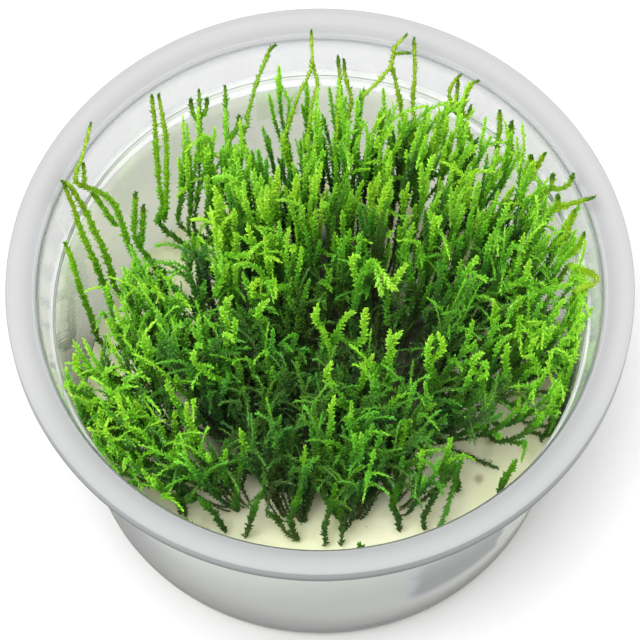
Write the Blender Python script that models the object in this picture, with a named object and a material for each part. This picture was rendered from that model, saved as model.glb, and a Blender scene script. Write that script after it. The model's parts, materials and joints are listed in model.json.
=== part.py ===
# Moss clump on gel in a clear grow cup. Metres, +Z up, origin at the centre of the cup's base, front
# towards -Y. The shoots stand in bunches, the tufts, on a bed of gel. They fan out as they rise, so that
# their tips line the wall of the cup. Single long shoots stand out round its rim, and a few stray ones grow
# on the bare gel in front.
import math
import random

import bmesh
import bpy
from mathutils import Vector

MM = 0.001

# Cup, by its outer radii and heights. Over the step it flares a little, and the rim falls inwards to the lip.
RIM_RADIUS = 50.0 * MM
CUP_HEIGHT = 56.8 * MM
BASE_RADIUS = 40.35 * MM
BASE_CORNER = 1.5 * MM
STEP_RADIUS = 43.8 * MM
STEP_HEIGHT = 45.4 * MM
STEP_FLARE = 0.6 * MM
NECK_RADIUS = 45.8 * MM
NECK_HEIGHT = 54.4 * MM
LIP_ROUND = 0.5 * MM
RIM_FALL = 1.1 * MM
RIM_ROUND = 0.6 * MM
SKIRT_DEPTH = 3.0 * MM
WALL = 0.72 * MM
FLOOR = 0.9 * MM
CUP_SIDES = 40

# Label band and gel. The gel creeps up a little where it meets the wall.
CLEARANCE = 0.3 * MM
BAND_BOTTOM = 2.4 * MM
BAND_TOP = 41.8 * MM
BAND_THICKNESS = 0.25 * MM
GEL_TOP = 12.7 * MM
GEL_DIP = 0.35 * MM
GEL_CREEP = 2.5 * MM
GEL_CORNER = 2.0 * MM

# Fan: how a shoot moves outwards as it rises from the gel to the crown
ROOT_HEIGHT = GEL_TOP + CLEARANCE
FAN_CENTRE = Vector((0.0, 1.0 * MM))
CROWN_RISE = 38.0 * MM
FAN_SPREAD = 0.36
FRONT_SPREAD = 0.08
FAN_BEND = 0.75

# Tufts: rings round the cup's axis, as (tufts in a whole ring, radius). The outer ring has none where the gel
# is bare, between these bearings in degrees from +X.
TUFT_RINGS = ((1, 0.0), (6, 8.9 * MM), (12, 17.6 * MM), (18, 26.1 * MM))
BARE_BEARINGS = ((135, 170), (310, 350))
TUFT_RADIUS = 4.2 * MM
SHOOTS_IN_TUFT = 7
PARTING = 0.42
HOLLOW_CENTRE = Vector((3.5 * MM, 0.0))
HOLLOW_RADIUS = 10.0 * MM
HOLLOW_DEPTH = 12.0 * MM
FRONT_EDGE = 28.0 * MM
FRONT_DROP = 5.0 * MM
SEED = 11

# Long shoots: bearing of the root in degrees from +X, its distance from the cup's axis in millimetres, the
# tip's height over the table in millimetres, how far the stem sways to the left halfway up in millimetres,
# and whether it forks
LONG_SHOOTS = (
    (-3, 31.2, 58, 0.8, False),
    (13, 31.2, 60, -1.0, False),
    (22, 31.4, 60, 0.8, True),
    (32, 31.2, 55, 0.5, False),
    (40, 31.2, 60, -0.5, True),
    (50, 31.2, 59, 0.8, False),
    (58, 31.4, 57, 1.2, True),
    (69, 31.2, 64, 0.5, False),
    (75, 31.2, 64, 1.2, True),
    (86, 31.2, 54, 0.5, False),
    (93, 31.3, 61, 1.0, True),
    (102, 31.2, 59, 1.2, False),
    (113, 31.2, 52, 0.3, False),
    (121, 31.2, 53, 0.5, False),
    (129, 31.2, 56, 0.5, False),
    (145, 28.4, 44, 0.5, False),
    (150, 30.6, 64, 1.5, False),
    (159, 30.8, 60, 0.5, True),
    (167, 31.0, 49, 0.5, False),
)
STEM_RADIUS = 0.8 * MM
TWIG_RISE = 6.5 * MM
TWIG_REACH = 3.4 * MM

# Stray shoots on the bare gel: points along each in millimetres, from the root
STRAY_SHOOTS = (
    ((21.5, -15.5, 13.2), (23.0, -18.5, 21.5), (21.8, -23.5, 21.5), (19.5, -28.5, 14.2)),
    ((30.5, -20.0, 13.2), (31.0, -19.6, 19.0), (32.5, -19.0, 26.0)),
    ((7.0, -32.0, 13.2), (7.6, -32.4, 17.0), (6.6, -32.0, 21.0)),
    ((-17.0, -29.5, 13.2), (-19.2, -30.0, 20.0), (-22.6, -30.4, 29.0)),
    ((-32.5, -15.5, 13.2), (-36.4, -15.4, 24.0), (-38.4, -12.6, 37.0)),
)


def clear_scene():
    for thing in list(bpy.data.objects):
        bpy.data.objects.remove(thing)


def make_material(name, colour, roughness, alpha=1.0):
    material = bpy.data.materials.new(name)
    material.use_nodes = True
    shader = material.node_tree.nodes["Principled BSDF"]
    shader.inputs["Base Color"].default_value = (*colour, 1.0)
    shader.inputs["Roughness"].default_value = roughness
    shader.inputs["Metallic"].default_value = 0.0
    shader.inputs["Alpha"].default_value = alpha
    material.diffuse_color = (*colour, alpha)
    return material


def add_object(name, bm, material):
    """The finished mesh as a named object, with its faces pointing out and its round faces shaded smooth."""
    bmesh.ops.recalc_face_normals(bm, faces=bm.faces)
    mesh = bpy.data.meshes.new(name)
    bm.to_mesh(mesh)
    bm.free()
    mesh.materials.append(material)
    mesh.shade_smooth()
    mesh.set_sharp_from_angle(angle=math.radians(40))
    thing = bpy.data.objects.new(name, mesh)
    bpy.context.scene.collection.objects.link(thing)
    return thing


def add_loft(bm, rings):
    """Joins rings of vertices one after the other. A ring of one vertex is a tip or a pole."""
    for low, high in zip(rings, rings[1:]):
        count = max(len(low), len(high))
        for i in range(count):
            j = (i + 1) % count
            corners = [low[i % len(low)], low[j % len(low)], high[j % len(high)], high[i % len(high)]]
            bm.faces.new(dict.fromkeys(corners))


def circle(centre, radius, sides, first=0.0):
    """Points in plan round centre, the first of them at the angle first."""
    turns = [first + 2 * math.pi * k / sides for k in range(sides)]
    return [centre + radius * Vector((math.cos(turn), math.sin(turn))) for turn in turns]


def turned(profile, sides):
    """A body turned round Z from (radius, height) points. One that starts off the axis is a closed ring."""
    bm = bmesh.new()
    rings = []
    for radius, height in profile:
        places = circle(Vector((0, 0)), radius, sides) if radius else [(0, 0)]
        rings.append([bm.verts.new((*place, height)) for place in places])
    if profile[0][0]:
        rings.append(rings[0])
    add_loft(bm, rings)
    return bm


def wall_radius(height):
    """The cup's outer radius between its base corner and its step."""
    part = (height - BASE_CORNER) / (STEP_HEIGHT - BASE_CORNER)
    return BASE_RADIUS + (STEP_RADIUS - BASE_RADIUS) * part


def make_cup(material):
    """Up the outside from the base, over the step, neck and rim with its skirt, and down the inside."""
    corner_bend = (1 - math.sqrt(0.5)) * BASE_CORNER
    flare_top = STEP_HEIGHT + 2 * STEP_FLARE
    skirt = RIM_RADIUS - WALL
    skirt_bottom = CUP_HEIGHT - SKIRT_DEPTH
    lip = NECK_RADIUS - WALL
    profile = [
        (0, 0),
        (BASE_RADIUS - BASE_CORNER, 0),
        (BASE_RADIUS - corner_bend, corner_bend),
        (BASE_RADIUS, BASE_CORNER),
        (STEP_RADIUS, STEP_HEIGHT),
        (STEP_RADIUS + STEP_FLARE, flare_top),
        (NECK_RADIUS, NECK_HEIGHT),
        (NECK_RADIUS + WALL, NECK_HEIGHT + WALL),
        (skirt - RIM_ROUND, CUP_HEIGHT - WALL),
        (skirt, CUP_HEIGHT - WALL - RIM_ROUND),
        (skirt, skirt_bottom),
        (RIM_RADIUS, skirt_bottom),
        (RIM_RADIUS, CUP_HEIGHT - RIM_ROUND),
        (RIM_RADIUS - RIM_ROUND, CUP_HEIGHT),
        (0.5 * (lip + RIM_RADIUS), CUP_HEIGHT - 0.25 * RIM_FALL),
        (lip + LIP_ROUND, CUP_HEIGHT - RIM_FALL),
        (lip, NECK_HEIGHT + LIP_ROUND),
        (STEP_RADIUS + STEP_FLARE - WALL, flare_top),
        (STEP_RADIUS - WALL, STEP_HEIGHT),
        (BASE_RADIUS - WALL, BASE_CORNER + WALL),
        (BASE_RADIUS - WALL - BASE_CORNER, FLOOR),
        (0, FLOOR),
    ]
    return add_object("cup", turned(profile, CUP_SIDES), material)


def make_label_band(material):
    """A thin sleeve of printed film round the outside of the wall."""
    profile = []
    for height, layers in ((BAND_BOTTOM, 0), (BAND_BOTTOM, 1), (BAND_TOP, 1), (BAND_TOP, 0)):
        profile.append((wall_radius(height) + CLEARANCE + layers * BAND_THICKNESS, height))
    return add_object("label_band", turned(profile, CUP_SIDES), material)


def make_gel(material):
    """The set gel, whose surface dips a little away from the wall."""
    bottom = FLOOR + CLEARANCE
    inset = WALL + CLEARANCE
    edge = wall_radius(GEL_TOP) - inset
    profile = [
        (0, bottom),
        (BASE_RADIUS - inset - GEL_CORNER, bottom),
        (wall_radius(bottom + GEL_CORNER) - inset, bottom + GEL_CORNER),
        (edge, GEL_TOP),
        (edge - GEL_CREEP, GEL_TOP - GEL_DIP),
        (0.5 * edge, GEL_TOP - 0.5 * GEL_DIP),
        (0, GEL_TOP),
    ]
    return add_object("gel", turned(profile, CUP_SIDES), material)


def fan(root, rise):
    """Where in plan a shoot from root has got to at a rise over the gel: outwards, but hardly forwards."""
    reach = (rise / CROWN_RISE) ** FAN_BEND
    offset = root - FAN_CENTRE
    sideways = 1 + FAN_SPREAD * reach
    depthways = sideways if offset.y > 0 else 1 + FRONT_SPREAD * reach
    return FAN_CENTRE + Vector((offset.x * sideways, offset.y * depthways))


def crown_rise(root):
    """How tall the clump grows over a root: less in the hollow at its middle and along the front edge."""
    hollow = math.exp(-(((root - HOLLOW_CENTRE).length / HOLLOW_RADIUS) ** 2))
    front = max(0.0, -root.y / FRONT_EDGE)
    return CROWN_RISE - HOLLOW_DEPTH * hollow - FRONT_DROP * front


def tuft_roots(chance):
    """The middle of each tuft in plan, ring by ring, leaving out those on the bare gel."""
    roots = []
    for count, radius in TUFT_RINGS:
        for k in range(count):
            bearing = 360 * k / count
            bare = radius == TUFT_RINGS[-1][1] and any(low < bearing < high for low, high in BARE_BEARINGS)
            turn = math.radians(bearing + chance.uniform(-0.4, 0.4))
            if not bare:
                roots.append(radius * Vector((math.cos(turn), math.sin(turn))))
    return roots


def make_tuft(name, root, material, chance):
    """One bunch: a body that widens from its roots and parts into pointed shoots, one for each side."""
    bm = bmesh.new()
    corners = circle(root, TUFT_RADIUS, SHOOTS_IN_TUFT, chance.uniform(0, 2 * math.pi))
    parting = PARTING * crown_rise(root)
    lift = chance.uniform(-2.0, 2.0) * MM

    def grown(place, rise):
        return bm.verts.new((*fan(place, rise), ROOT_HEIGHT + rise))

    rings = []
    for part, width in ((0.0, 0.55), (0.25, 0.8), (0.6, 1.0), (1.0, 0.97)):
        rings.append([grown(root + width * (corner - root), part * parting) for corner in corners])
    bm.faces.new(reversed(rings[0]))
    add_loft(bm, rings)
    hub = grown(root, 0.9 * parting)
    for k in range(SHOOTS_IN_TUFT):
        j = (k + 1) % SHOOTS_IN_TUFT
        outline = (root, corners[k], corners[j])
        middle = (root + corners[k] + corners[j]) / 3
        tip_rise = crown_rise(middle) + lift + chance.uniform(-3.0, 3.5) * MM
        lean = Vector((chance.uniform(-0.8, 0.8), chance.uniform(-0.8, 0.8))) * MM
        levels = [[hub, rings[-1][k], rings[-1][j]]]
        for part, width in ((0.12, 0.8), (0.5, 0.72), (0.82, 0.5)):
            rise = parting + part * (tip_rise - parting)
            places = [middle + width * (corner - middle) + part**2 * lean for corner in outline]
            levels.append([grown(place, rise) for place in places])
        levels.append([grown(middle + lean, tip_rise)])
        add_loft(bm, levels)
    return add_object(name, bm, material)


def smooth_path(points, count):
    """count + 1 points along a smooth curve that goes through points."""
    ends = [2 * points[0] - points[1], *points, 2 * points[-1] - points[-2]]
    path = []
    for i in range(count + 1):
        place = i / count * (len(points) - 1)
        k = min(int(place), len(points) - 2)
        t = place - k
        a, b, c, d = ends[k : k + 4]
        bend = (2 * a - 5 * b + 4 * c - d) * t**2 + (3 * (b - c) + d - a) * t**3
        path.append(0.5 * (2 * b + (c - a) * t + bend))
    return path


def stem_mesh(path, radius, sides=4):
    """A closed stem along path, a little thinner at its root, with a flat root and a pointed tip."""
    bm = bmesh.new()
    rings = []
    last = len(path) - 1
    for i in range(last):
        along = (path[i + 1] - path[max(i - 1, 0)]).normalized()
        side = along.cross(Vector((0.3, 1.0, 0.2))).normalized()
        across = along.cross(side)
        width = radius * (0.8 + 0.2 * math.sin(math.pi * i / last))
        ring = []
        for place in circle(Vector((0, 0)), width, sides):
            ring.append(bm.verts.new(path[i] + place.x * side + place.y * across))
        rings.append(ring)
    bm.faces.new(rings[0])
    rings.append([bm.verts.new(path[-1])])
    add_loft(bm, rings)
    return bm


def fuse(body, other):
    """Unites body with other, which crosses it, and keeps the result as body's own mesh."""
    union = body.modifiers.new("fuse", "BOOLEAN")
    union.operation = "UNION"
    union.solver = "EXACT"
    union.object = other
    graph = bpy.context.evaluated_depsgraph_get()
    fused = bpy.data.meshes.new_from_object(body.evaluated_get(graph))
    body.modifiers.clear()
    body.data = fused
    bpy.data.objects.remove(other)


def make_long_shoot(name, bearing, distance, tip_height, sway, forks, material):
    """A single shoot that follows the fan up to its tip. If it forks, a twig leaves its upper third."""
    turn = math.radians(bearing)
    out = Vector((math.cos(turn), math.sin(turn)))
    left = Vector((-out.y, out.x, 0))
    rise = tip_height * MM - ROOT_HEIGHT
    points = []
    for part in (0.0, 0.33, 0.67, 1.0):
        bulge = sway * MM * math.sin(math.pi * part)
        place = fan(distance * MM * out, part * rise)
        points.append(Vector((*place, ROOT_HEIGHT + part * rise)) + bulge * left)
    path = smooth_path(points, 6)
    shoot = add_object(name, stem_mesh(path, STEM_RADIUS), material)
    if forks:
        start = path[4]
        end = start + TWIG_REACH * left + TWIG_RISE * Vector((0, 0, 1))
        elbow = 0.5 * (start + end) + 0.15 * TWIG_REACH * left
        twig = add_object("twig", stem_mesh([start, elbow, end], 0.6 * STEM_RADIUS), material)
        fuse(shoot, twig)
    return shoot


def make_stray_shoot(name, points, material):
    path = smooth_path([MM * Vector(point) for point in points], 6)
    return add_object(name, stem_mesh(path, STEM_RADIUS), material)


def main():
    clear_scene()
    chance = random.Random(SEED)
    clear_plastic = make_material("clear_plastic", (0.86, 0.89, 0.9), 0.12, 0.3)
    printed_film = make_material("printed_film", (0.78, 0.79, 0.79), 0.4)
    cream_gel = make_material("cream_gel", (0.6, 0.57, 0.4), 0.25)
    leaf_green = make_material("leaf_green", (0.11, 0.3, 0.02), 0.5)
    stem_green = make_material("stem_green", (0.2, 0.38, 0.03), 0.5)
    make_cup(clear_plastic)
    make_label_band(printed_film)
    make_gel(cream_gel)
    for number, root in enumerate(tuft_roots(chance), 1):
        make_tuft(f"tuft_{number:02d}", root, leaf_green, chance)
    for number, shoot in enumerate(LONG_SHOOTS, 1):
        make_long_shoot(f"long_shoot_{number:02d}", *shoot, stem_green)
    for number, points in enumerate(STRAY_SHOOTS, 1):
        make_stray_shoot(f"stray_shoot_{number:02d}", points, stem_green)


main()
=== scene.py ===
# A moss clump on gel in a clear grow cup: the finished look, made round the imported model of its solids.
# Lengths are in millimetres here, and turn to metres where a mesh is made.
import json
import math
import random

import bmesh
import bpy
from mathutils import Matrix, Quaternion, Vector, noise

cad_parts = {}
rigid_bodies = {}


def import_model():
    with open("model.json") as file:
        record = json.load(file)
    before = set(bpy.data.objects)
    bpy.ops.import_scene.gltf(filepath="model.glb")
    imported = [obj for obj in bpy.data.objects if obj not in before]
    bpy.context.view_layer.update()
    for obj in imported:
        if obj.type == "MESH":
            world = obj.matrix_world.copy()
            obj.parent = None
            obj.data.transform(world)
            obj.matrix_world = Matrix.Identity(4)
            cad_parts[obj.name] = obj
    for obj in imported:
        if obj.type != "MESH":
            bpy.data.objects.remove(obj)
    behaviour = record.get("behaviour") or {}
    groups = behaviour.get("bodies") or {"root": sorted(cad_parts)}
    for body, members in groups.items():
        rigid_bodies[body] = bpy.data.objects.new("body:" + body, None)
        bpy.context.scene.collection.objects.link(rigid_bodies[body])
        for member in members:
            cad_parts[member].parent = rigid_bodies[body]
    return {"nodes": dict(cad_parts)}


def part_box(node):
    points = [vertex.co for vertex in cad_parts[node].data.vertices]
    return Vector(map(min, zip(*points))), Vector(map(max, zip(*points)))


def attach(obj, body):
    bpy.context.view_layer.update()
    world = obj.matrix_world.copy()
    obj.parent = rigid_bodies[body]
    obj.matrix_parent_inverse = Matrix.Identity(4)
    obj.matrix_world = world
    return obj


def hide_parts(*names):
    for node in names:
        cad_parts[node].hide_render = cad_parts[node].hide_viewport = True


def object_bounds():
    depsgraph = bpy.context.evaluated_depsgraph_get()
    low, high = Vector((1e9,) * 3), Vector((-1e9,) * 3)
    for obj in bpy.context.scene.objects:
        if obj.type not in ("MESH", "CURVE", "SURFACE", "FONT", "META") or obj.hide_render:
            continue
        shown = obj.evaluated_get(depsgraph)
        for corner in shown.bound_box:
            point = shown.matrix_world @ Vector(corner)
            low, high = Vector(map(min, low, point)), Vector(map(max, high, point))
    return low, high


for thing in list(bpy.data.objects):
    bpy.data.objects.remove(thing)
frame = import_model()
cadBox = [list(corner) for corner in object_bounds()]
millimetre = 0.001
perMetre = 1000
clearance = 0.3  # between the solids of the wall and the band, and of the gel and the moss
up = Vector((0, 0, 1))
boxTop = cadBox[1][2] / millimetre
noise.seed_set(4)  # without a seed, noise_vector differs from run to run
print("frame loaded:", len(frame["nodes"]), "solids")


# The camera looks at the cup as the photo does. A place in the photo is a pixel of its 640 by 640 picture.
view = {
    "elevation": 64.97, "distance": 450.0, "aimHeight": 40.88, "lens": 154.2, "sensor": 36.0, "picture": 640,
    "clipStart": 20.0,
}


def viewAxes():
    tilt = math.radians(view["elevation"])
    back = Vector((0, -math.cos(tilt), math.sin(tilt)))
    above = Vector((0, math.sin(tilt), math.cos(tilt)))
    eye = Vector((0, 0, view["aimHeight"])) + view["distance"] * back
    return eye, back, above


def seenAt(place):  # the point at that height that the photo shows at that pixel: (across, down, height)
    across, down, height = place
    eye, back, above = viewAxes()
    focal = view["lens"] / view["sensor"] * view["picture"]
    middle = view["picture"] / 2
    ray = Vector(((across - middle) / focal, 0, 0)) + (middle - down) / focal * above - back
    return eye + ray * ((height - eye.z) / ray.z)


def makeCamera():
    eye, back = viewAxes()[:2]
    camera = bpy.data.objects.new("camera", bpy.data.cameras.new("camera"))
    camera.data.lens = view["lens"]
    camera.data.sensor_width = view["sensor"]
    camera.data.clip_start = view["clipStart"] * millimetre
    camera.location = eye * millimetre
    camera.rotation_euler = back.to_track_quat("Z", "Y").to_euler()
    bpy.context.scene.collection.objects.link(camera)
    bpy.context.scene.camera = camera


# Node trees, of materials and of geometry, are written with these two classes
class Wire:  # an output socket of a node: sums on it add Math nodes to its tree
    def __init__(self, graph, socket):
        self.graph = graph
        self.socket = socket

    def __add__(self, other):
        return self.graph.maths("ADD", self, other)

    def __radd__(self, other):
        return self.graph.maths("ADD", other, self)

    def __sub__(self, other):
        return self.graph.maths("SUBTRACT", self, other)

    def __rsub__(self, other):
        return self.graph.maths("SUBTRACT", other, self)

    def __mul__(self, other):
        return self.graph.maths("MULTIPLY", self, other)

    def __rmul__(self, other):
        return self.graph.maths("MULTIPLY", other, self)

    def __truediv__(self, other):
        return self.graph.maths("DIVIDE", self, other)

    def __rtruediv__(self, other):
        return self.graph.maths("DIVIDE", other, self)


def socketOf(sockets, key):  # by its place, or else by its identifier or its name
    if isinstance(key, int):
        return sockets[key]
    for socket in sockets:
        if key == socket.identifier:
            return socket
    return sockets[key]


class Graph:
    def __init__(self, tree):
        self.tree = tree

    def node(self, kind, settings=None, sockets=None, result=0):
        made = self.tree.nodes.new(kind)
        for key, value in (settings or {}).items():
            if key == "stops":
                self.setStops(made.color_ramp, value)
            else:
                setattr(made, key, value)
        for key, value in (sockets or {}).items():
            socket = socketOf(made.inputs, key)
            if isinstance(value, Wire):
                self.tree.links.new(value.socket, socket)
            else:
                socket.default_value = value
        return Wire(self, socketOf(made.outputs, result)) if made.outputs else made

    def setStops(self, ramp, stops):
        while len(ramp.elements) < len(stops):
            ramp.elements.new(1.0)
        for element, (place, colour) in zip(ramp.elements, stops):
            element.position = place
            element.color = (*colour, 1.0)

    def maths(self, operation, first, second=0.0):
        return self.node("ShaderNodeMath", {"operation": operation}, {0: first, 1: second})

    def place(self):  # Object coordinates
        return self.node("ShaderNodeTexCoord", result="Object")

    def parts(self, vector):  # its X, Y and Z
        split = self.node("ShaderNodeSeparateXYZ", {}, {"Vector": vector})
        return [Wire(self, split.socket.node.outputs[axis]) for axis in "XYZ"]

    def length(self, first, second):  # of the arrow with these two parts
        return self.maths("SQRT", first * first + second * second)

    def mixed(self, share, first, second, blend="MIX"):  # colours
        sockets = {"Factor_Float": share}
        for key, value in (("A_Color", first), ("B_Color", second)):
            sockets[key] = value if isinstance(value, Wire) else (*value, 1.0)
        settings = {"data_type": "RGBA", "blend_type": blend}
        return self.node("ShaderNodeMix", settings, sockets, "Result_Color")

    def ramp(self, value, stops):
        return self.node("ShaderNodeValToRGB", {"stops": stops}, {"Fac": value}, "Color")

    def between(self, value, low, high):  # 0 below low, 1 above high, and a smooth rise between
        settings = {"interpolation_type": "SMOOTHSTEP"}
        return self.node("ShaderNodeMapRange", settings, {0: value, 1: low, 2: high})

    def near(self, value, centre, width):  # 1 at centre, fading to 0 at width to each side
        return 1 - self.between(self.maths("ABSOLUTE", value - centre), 0.0, width)

    def speckle(self, vector, scale, detail):
        sockets = {"Vector": vector, "Scale": scale, "Detail": detail}
        return self.node("ShaderNodeTexNoise", {}, sockets)

    def bump(self, strength, height):
        sockets = {"Strength": strength, "Distance": 0.4 * millimetre, "Height": height}
        return self.node("ShaderNodeBump", {}, sockets)

    def surface(self, sockets):
        return self.node("ShaderNodeBsdfPrincipled", {}, sockets)

    def mixedShaders(self, share, first, second):
        return self.node("ShaderNodeMixShader", {}, {0: share, 1: first, 2: second})


def newMaterial(name):
    material = bpy.data.materials.new(name)
    material.use_nodes = True
    material.node_tree.nodes.clear()
    return material, Graph(material.node_tree)


def finishMaterial(material, graph, shader):
    graph.node("ShaderNodeOutputMaterial", {}, {"Surface": shader})
    return material


# Meshes
def addPiece(name, mesh, material):
    piece = bpy.data.objects.new(name, mesh)
    bpy.context.scene.collection.objects.link(piece)
    if material:
        mesh.materials.clear()
        mesh.materials.append(material)
    return piece


def placePiece(piece, slot, *nodes):
    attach(piece, "root")
    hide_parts(*nodes)


def roundedProfile(corners, steps=5):  # corners are (radius, height, rounding)
    mostOfSide = 0.49
    points = []
    for index, (radius, height, rounding) in enumerate(corners):
        corner = Vector((radius, height))
        if not rounding:
            points.append(corner)
            continue
        before = Vector(corners[index - 1][:2]) - corner
        after = Vector(corners[(index + 1) % len(corners)][:2]) - corner
        start = corner + before.normalized() * min(rounding, mostOfSide * before.length)
        end = corner + after.normalized() * min(rounding, mostOfSide * after.length)
        for step in range(steps + 1):
            part = step / steps
            points.append((1 - part) ** 2 * start + 2 * part * (1 - part) * corner + part**2 * end)
    return points


# A profile turned round Z. Its UV map holds the bearing and the way along the profile, each from 0 to 1.
def turnedMesh(name, profile, sides, shape=None):
    mesh = bmesh.new()
    lengths = [0.0]
    for low, high in zip(profile, profile[1:]):
        lengths.append(lengths[-1] + (high - low).length)
    closed = profile[0].x > 0
    if closed:
        lengths.append(lengths[-1] + (profile[0] - profile[-1]).length)
    rings = []
    for radius, height in profile:
        places = [0.0] if radius == 0 else [2 * math.pi * side / sides for side in range(sides)]
        ring = []
        for turn in places:
            point = Vector((radius * math.cos(turn), radius * math.sin(turn), height))
            ring.append(mesh.verts.new((shape(point) if shape else point) * millimetre))
        rings.append(ring)
    if closed:
        rings.append(rings[0])
    bearingMap = mesh.loops.layers.uv.new("bearing")
    for index, (low, high) in enumerate(zip(rings, rings[1:])):
        for side in range(sides):
            after = (side + 1) % sides
            lowAfter, highAfter = low[after % len(low)], high[after % len(high)]
            corners = [low[side % len(low)], lowAfter, highAfter, high[side % len(high)]]
            face = mesh.faces.new(dict.fromkeys(corners))
            for loop in face.loops:
                along = lengths[index] if loop.vert in low else lengths[index + 1]
                bearing = (side + 1 if loop.vert in (lowAfter, highAfter) else side) / sides
                loop[bearingMap].uv = (bearing, along / lengths[-1])
    bmesh.ops.recalc_face_normals(mesh, faces=mesh.faces)
    made = bpy.data.meshes.new(name)
    mesh.to_mesh(made)
    mesh.free()
    made.shade_smooth()
    return made


# Cup: the outline of its solid, with its corners rounded. A pair of offsets is outwards, then up.
cup = {
    "wall": 0.72, "floor": 0.9, "floorRound": 2.2, "sides": 200,
    "baseRadius": 40.35, "baseInset": 0.1, "baseCorner": 1.5, "heel": 3.0,
    "footRise": 0.35, "footStart": 4.5, "footWidth": 3.9,
    "stepRadius": 43.8, "stepHeight": 45.4, "stepFlare": 0.6,
    "neckRadius": 45.8, "neckHeight": 54.4, "shoulder": (1.0, -1.7),
    "beadFoot": (-0.25, -0.7), "beadTop": (0.15, 0.4), "beadWidth": 1.0,
    "rimFall": 1.1, "rimRound": 0.4, "skirtDepth": 3.0, "skirtRound": 0.3,
}
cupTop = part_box("cup")[1].z / millimetre
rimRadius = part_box("cup")[1].x / millimetre
lipRadius = cup["neckRadius"] - cup["wall"]
flareRadius = cup["stepRadius"] + cup["stepFlare"]
flareTop = cup["stepHeight"] + 2 * cup["stepFlare"]
plastic = {
    "wallShade": (0.97, 0.975, 0.97), "neckPaintedShade": (0.79, 0.785, 0.80), "frontPaintedShade": (0.27, 0.29, 0.285),
    "rimShades": [  # from the lip to the rim's edge
        (0.0, (0.40, 0.395, 0.415)), (0.3, (0.355, 0.355, 0.36)), (0.6, (0.38, 0.38, 0.38)),
        (0.9, (0.40, 0.40, 0.405)),
    ],
    "skirtEdgeShade": (0.12, 0.15, 0.14), "lipEdgeShade": (0.36, 0.39, 0.41), "stepEdgeShade": (0.34, 0.36, 0.36),
    "rimEdgeShade": (0.30, 0.32, 0.33), "thinLine": 0.2, "wideLine": 2.0,
    "frontFrom": (10.0, 34.0), "frontShare": 0.3, "wallMilk": 0.03, "rimMilk": 0.75, "stepMilk": 0.5,
    "gloss": 0.06, "rimRough": 0.42, "milkRough": 0.65, "shadow": (0.95, 0.955, 0.955, 1),
}


def outerRadius(height):  # of the wall between its base corner and its step
    part = (height - cup["baseCorner"]) / (cup["stepHeight"] - cup["baseCorner"])
    return cup["baseRadius"] + (cup["stepRadius"] - cup["baseRadius"]) * part


def innerRadius(height):  # of the room inside the wall, at any height up to the mouth
    if height < cup["stepHeight"]:
        return outerRadius(height) - cup["wall"]
    if height < flareTop:
        part = (height - cup["stepHeight"]) / (flareTop - cup["stepHeight"])
        return cup["stepRadius"] + part * cup["stepFlare"] - cup["wall"]
    part = (height - flareTop) / (cup["neckHeight"] - flareTop)
    return flareRadius + part * (cup["neckRadius"] - flareRadius) - cup["wall"]


def cupProfile():  # from the base's middle up the outside, over the rim and down the inside
    wall = cup["wall"]
    skirt = rimRadius - wall
    skirtFoot = cupTop - cup["skirtDepth"]

    def beside(radius, height, offset, rounding):
        return radius + offset[0], height + offset[1], rounding

    return roundedProfile([
        (0, cup["footRise"], 0),
        (cup["baseRadius"] - cup["footStart"], cup["footRise"], 1.0),
        (cup["baseRadius"] - cup["footWidth"], 0, 0.5),
        (cup["baseRadius"] - cup["baseInset"], 0, cup["baseCorner"]),
        (outerRadius(cup["heel"]), cup["heel"], 1.0),
        (cup["stepRadius"], cup["stepHeight"], 0.7),
        (flareRadius, flareTop, 0.5),
        (cup["neckRadius"], cup["neckHeight"], 0.7),
        beside(cup["neckRadius"], cupTop, cup["shoulder"], 0.5),
        (skirt, cupTop - wall, cup["rimRound"]),
        (skirt, skirtFoot, cup["skirtRound"]),
        (rimRadius, skirtFoot, cup["skirtRound"]),
        (rimRadius, cupTop, cup["rimRound"]),
        (0.5 * (lipRadius + rimRadius), cupTop - 0.25 * cup["rimFall"], 1.0),
        (lipRadius + cup["beadWidth"], cupTop - cup["rimFall"], 0.7),
        beside(lipRadius, cup["neckHeight"], cup["beadTop"], 0.7),
        beside(lipRadius, cup["neckHeight"], cup["beadFoot"], 0.6),
        (flareRadius - wall, flareTop, 0.5),
        (cup["stepRadius"] - wall, cup["stepHeight"], 0.5),
        (outerRadius(cup["floor"]) - wall, cup["floor"], cup["floorRound"]),
        (0, cup["floor"], 0),
    ])


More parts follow.
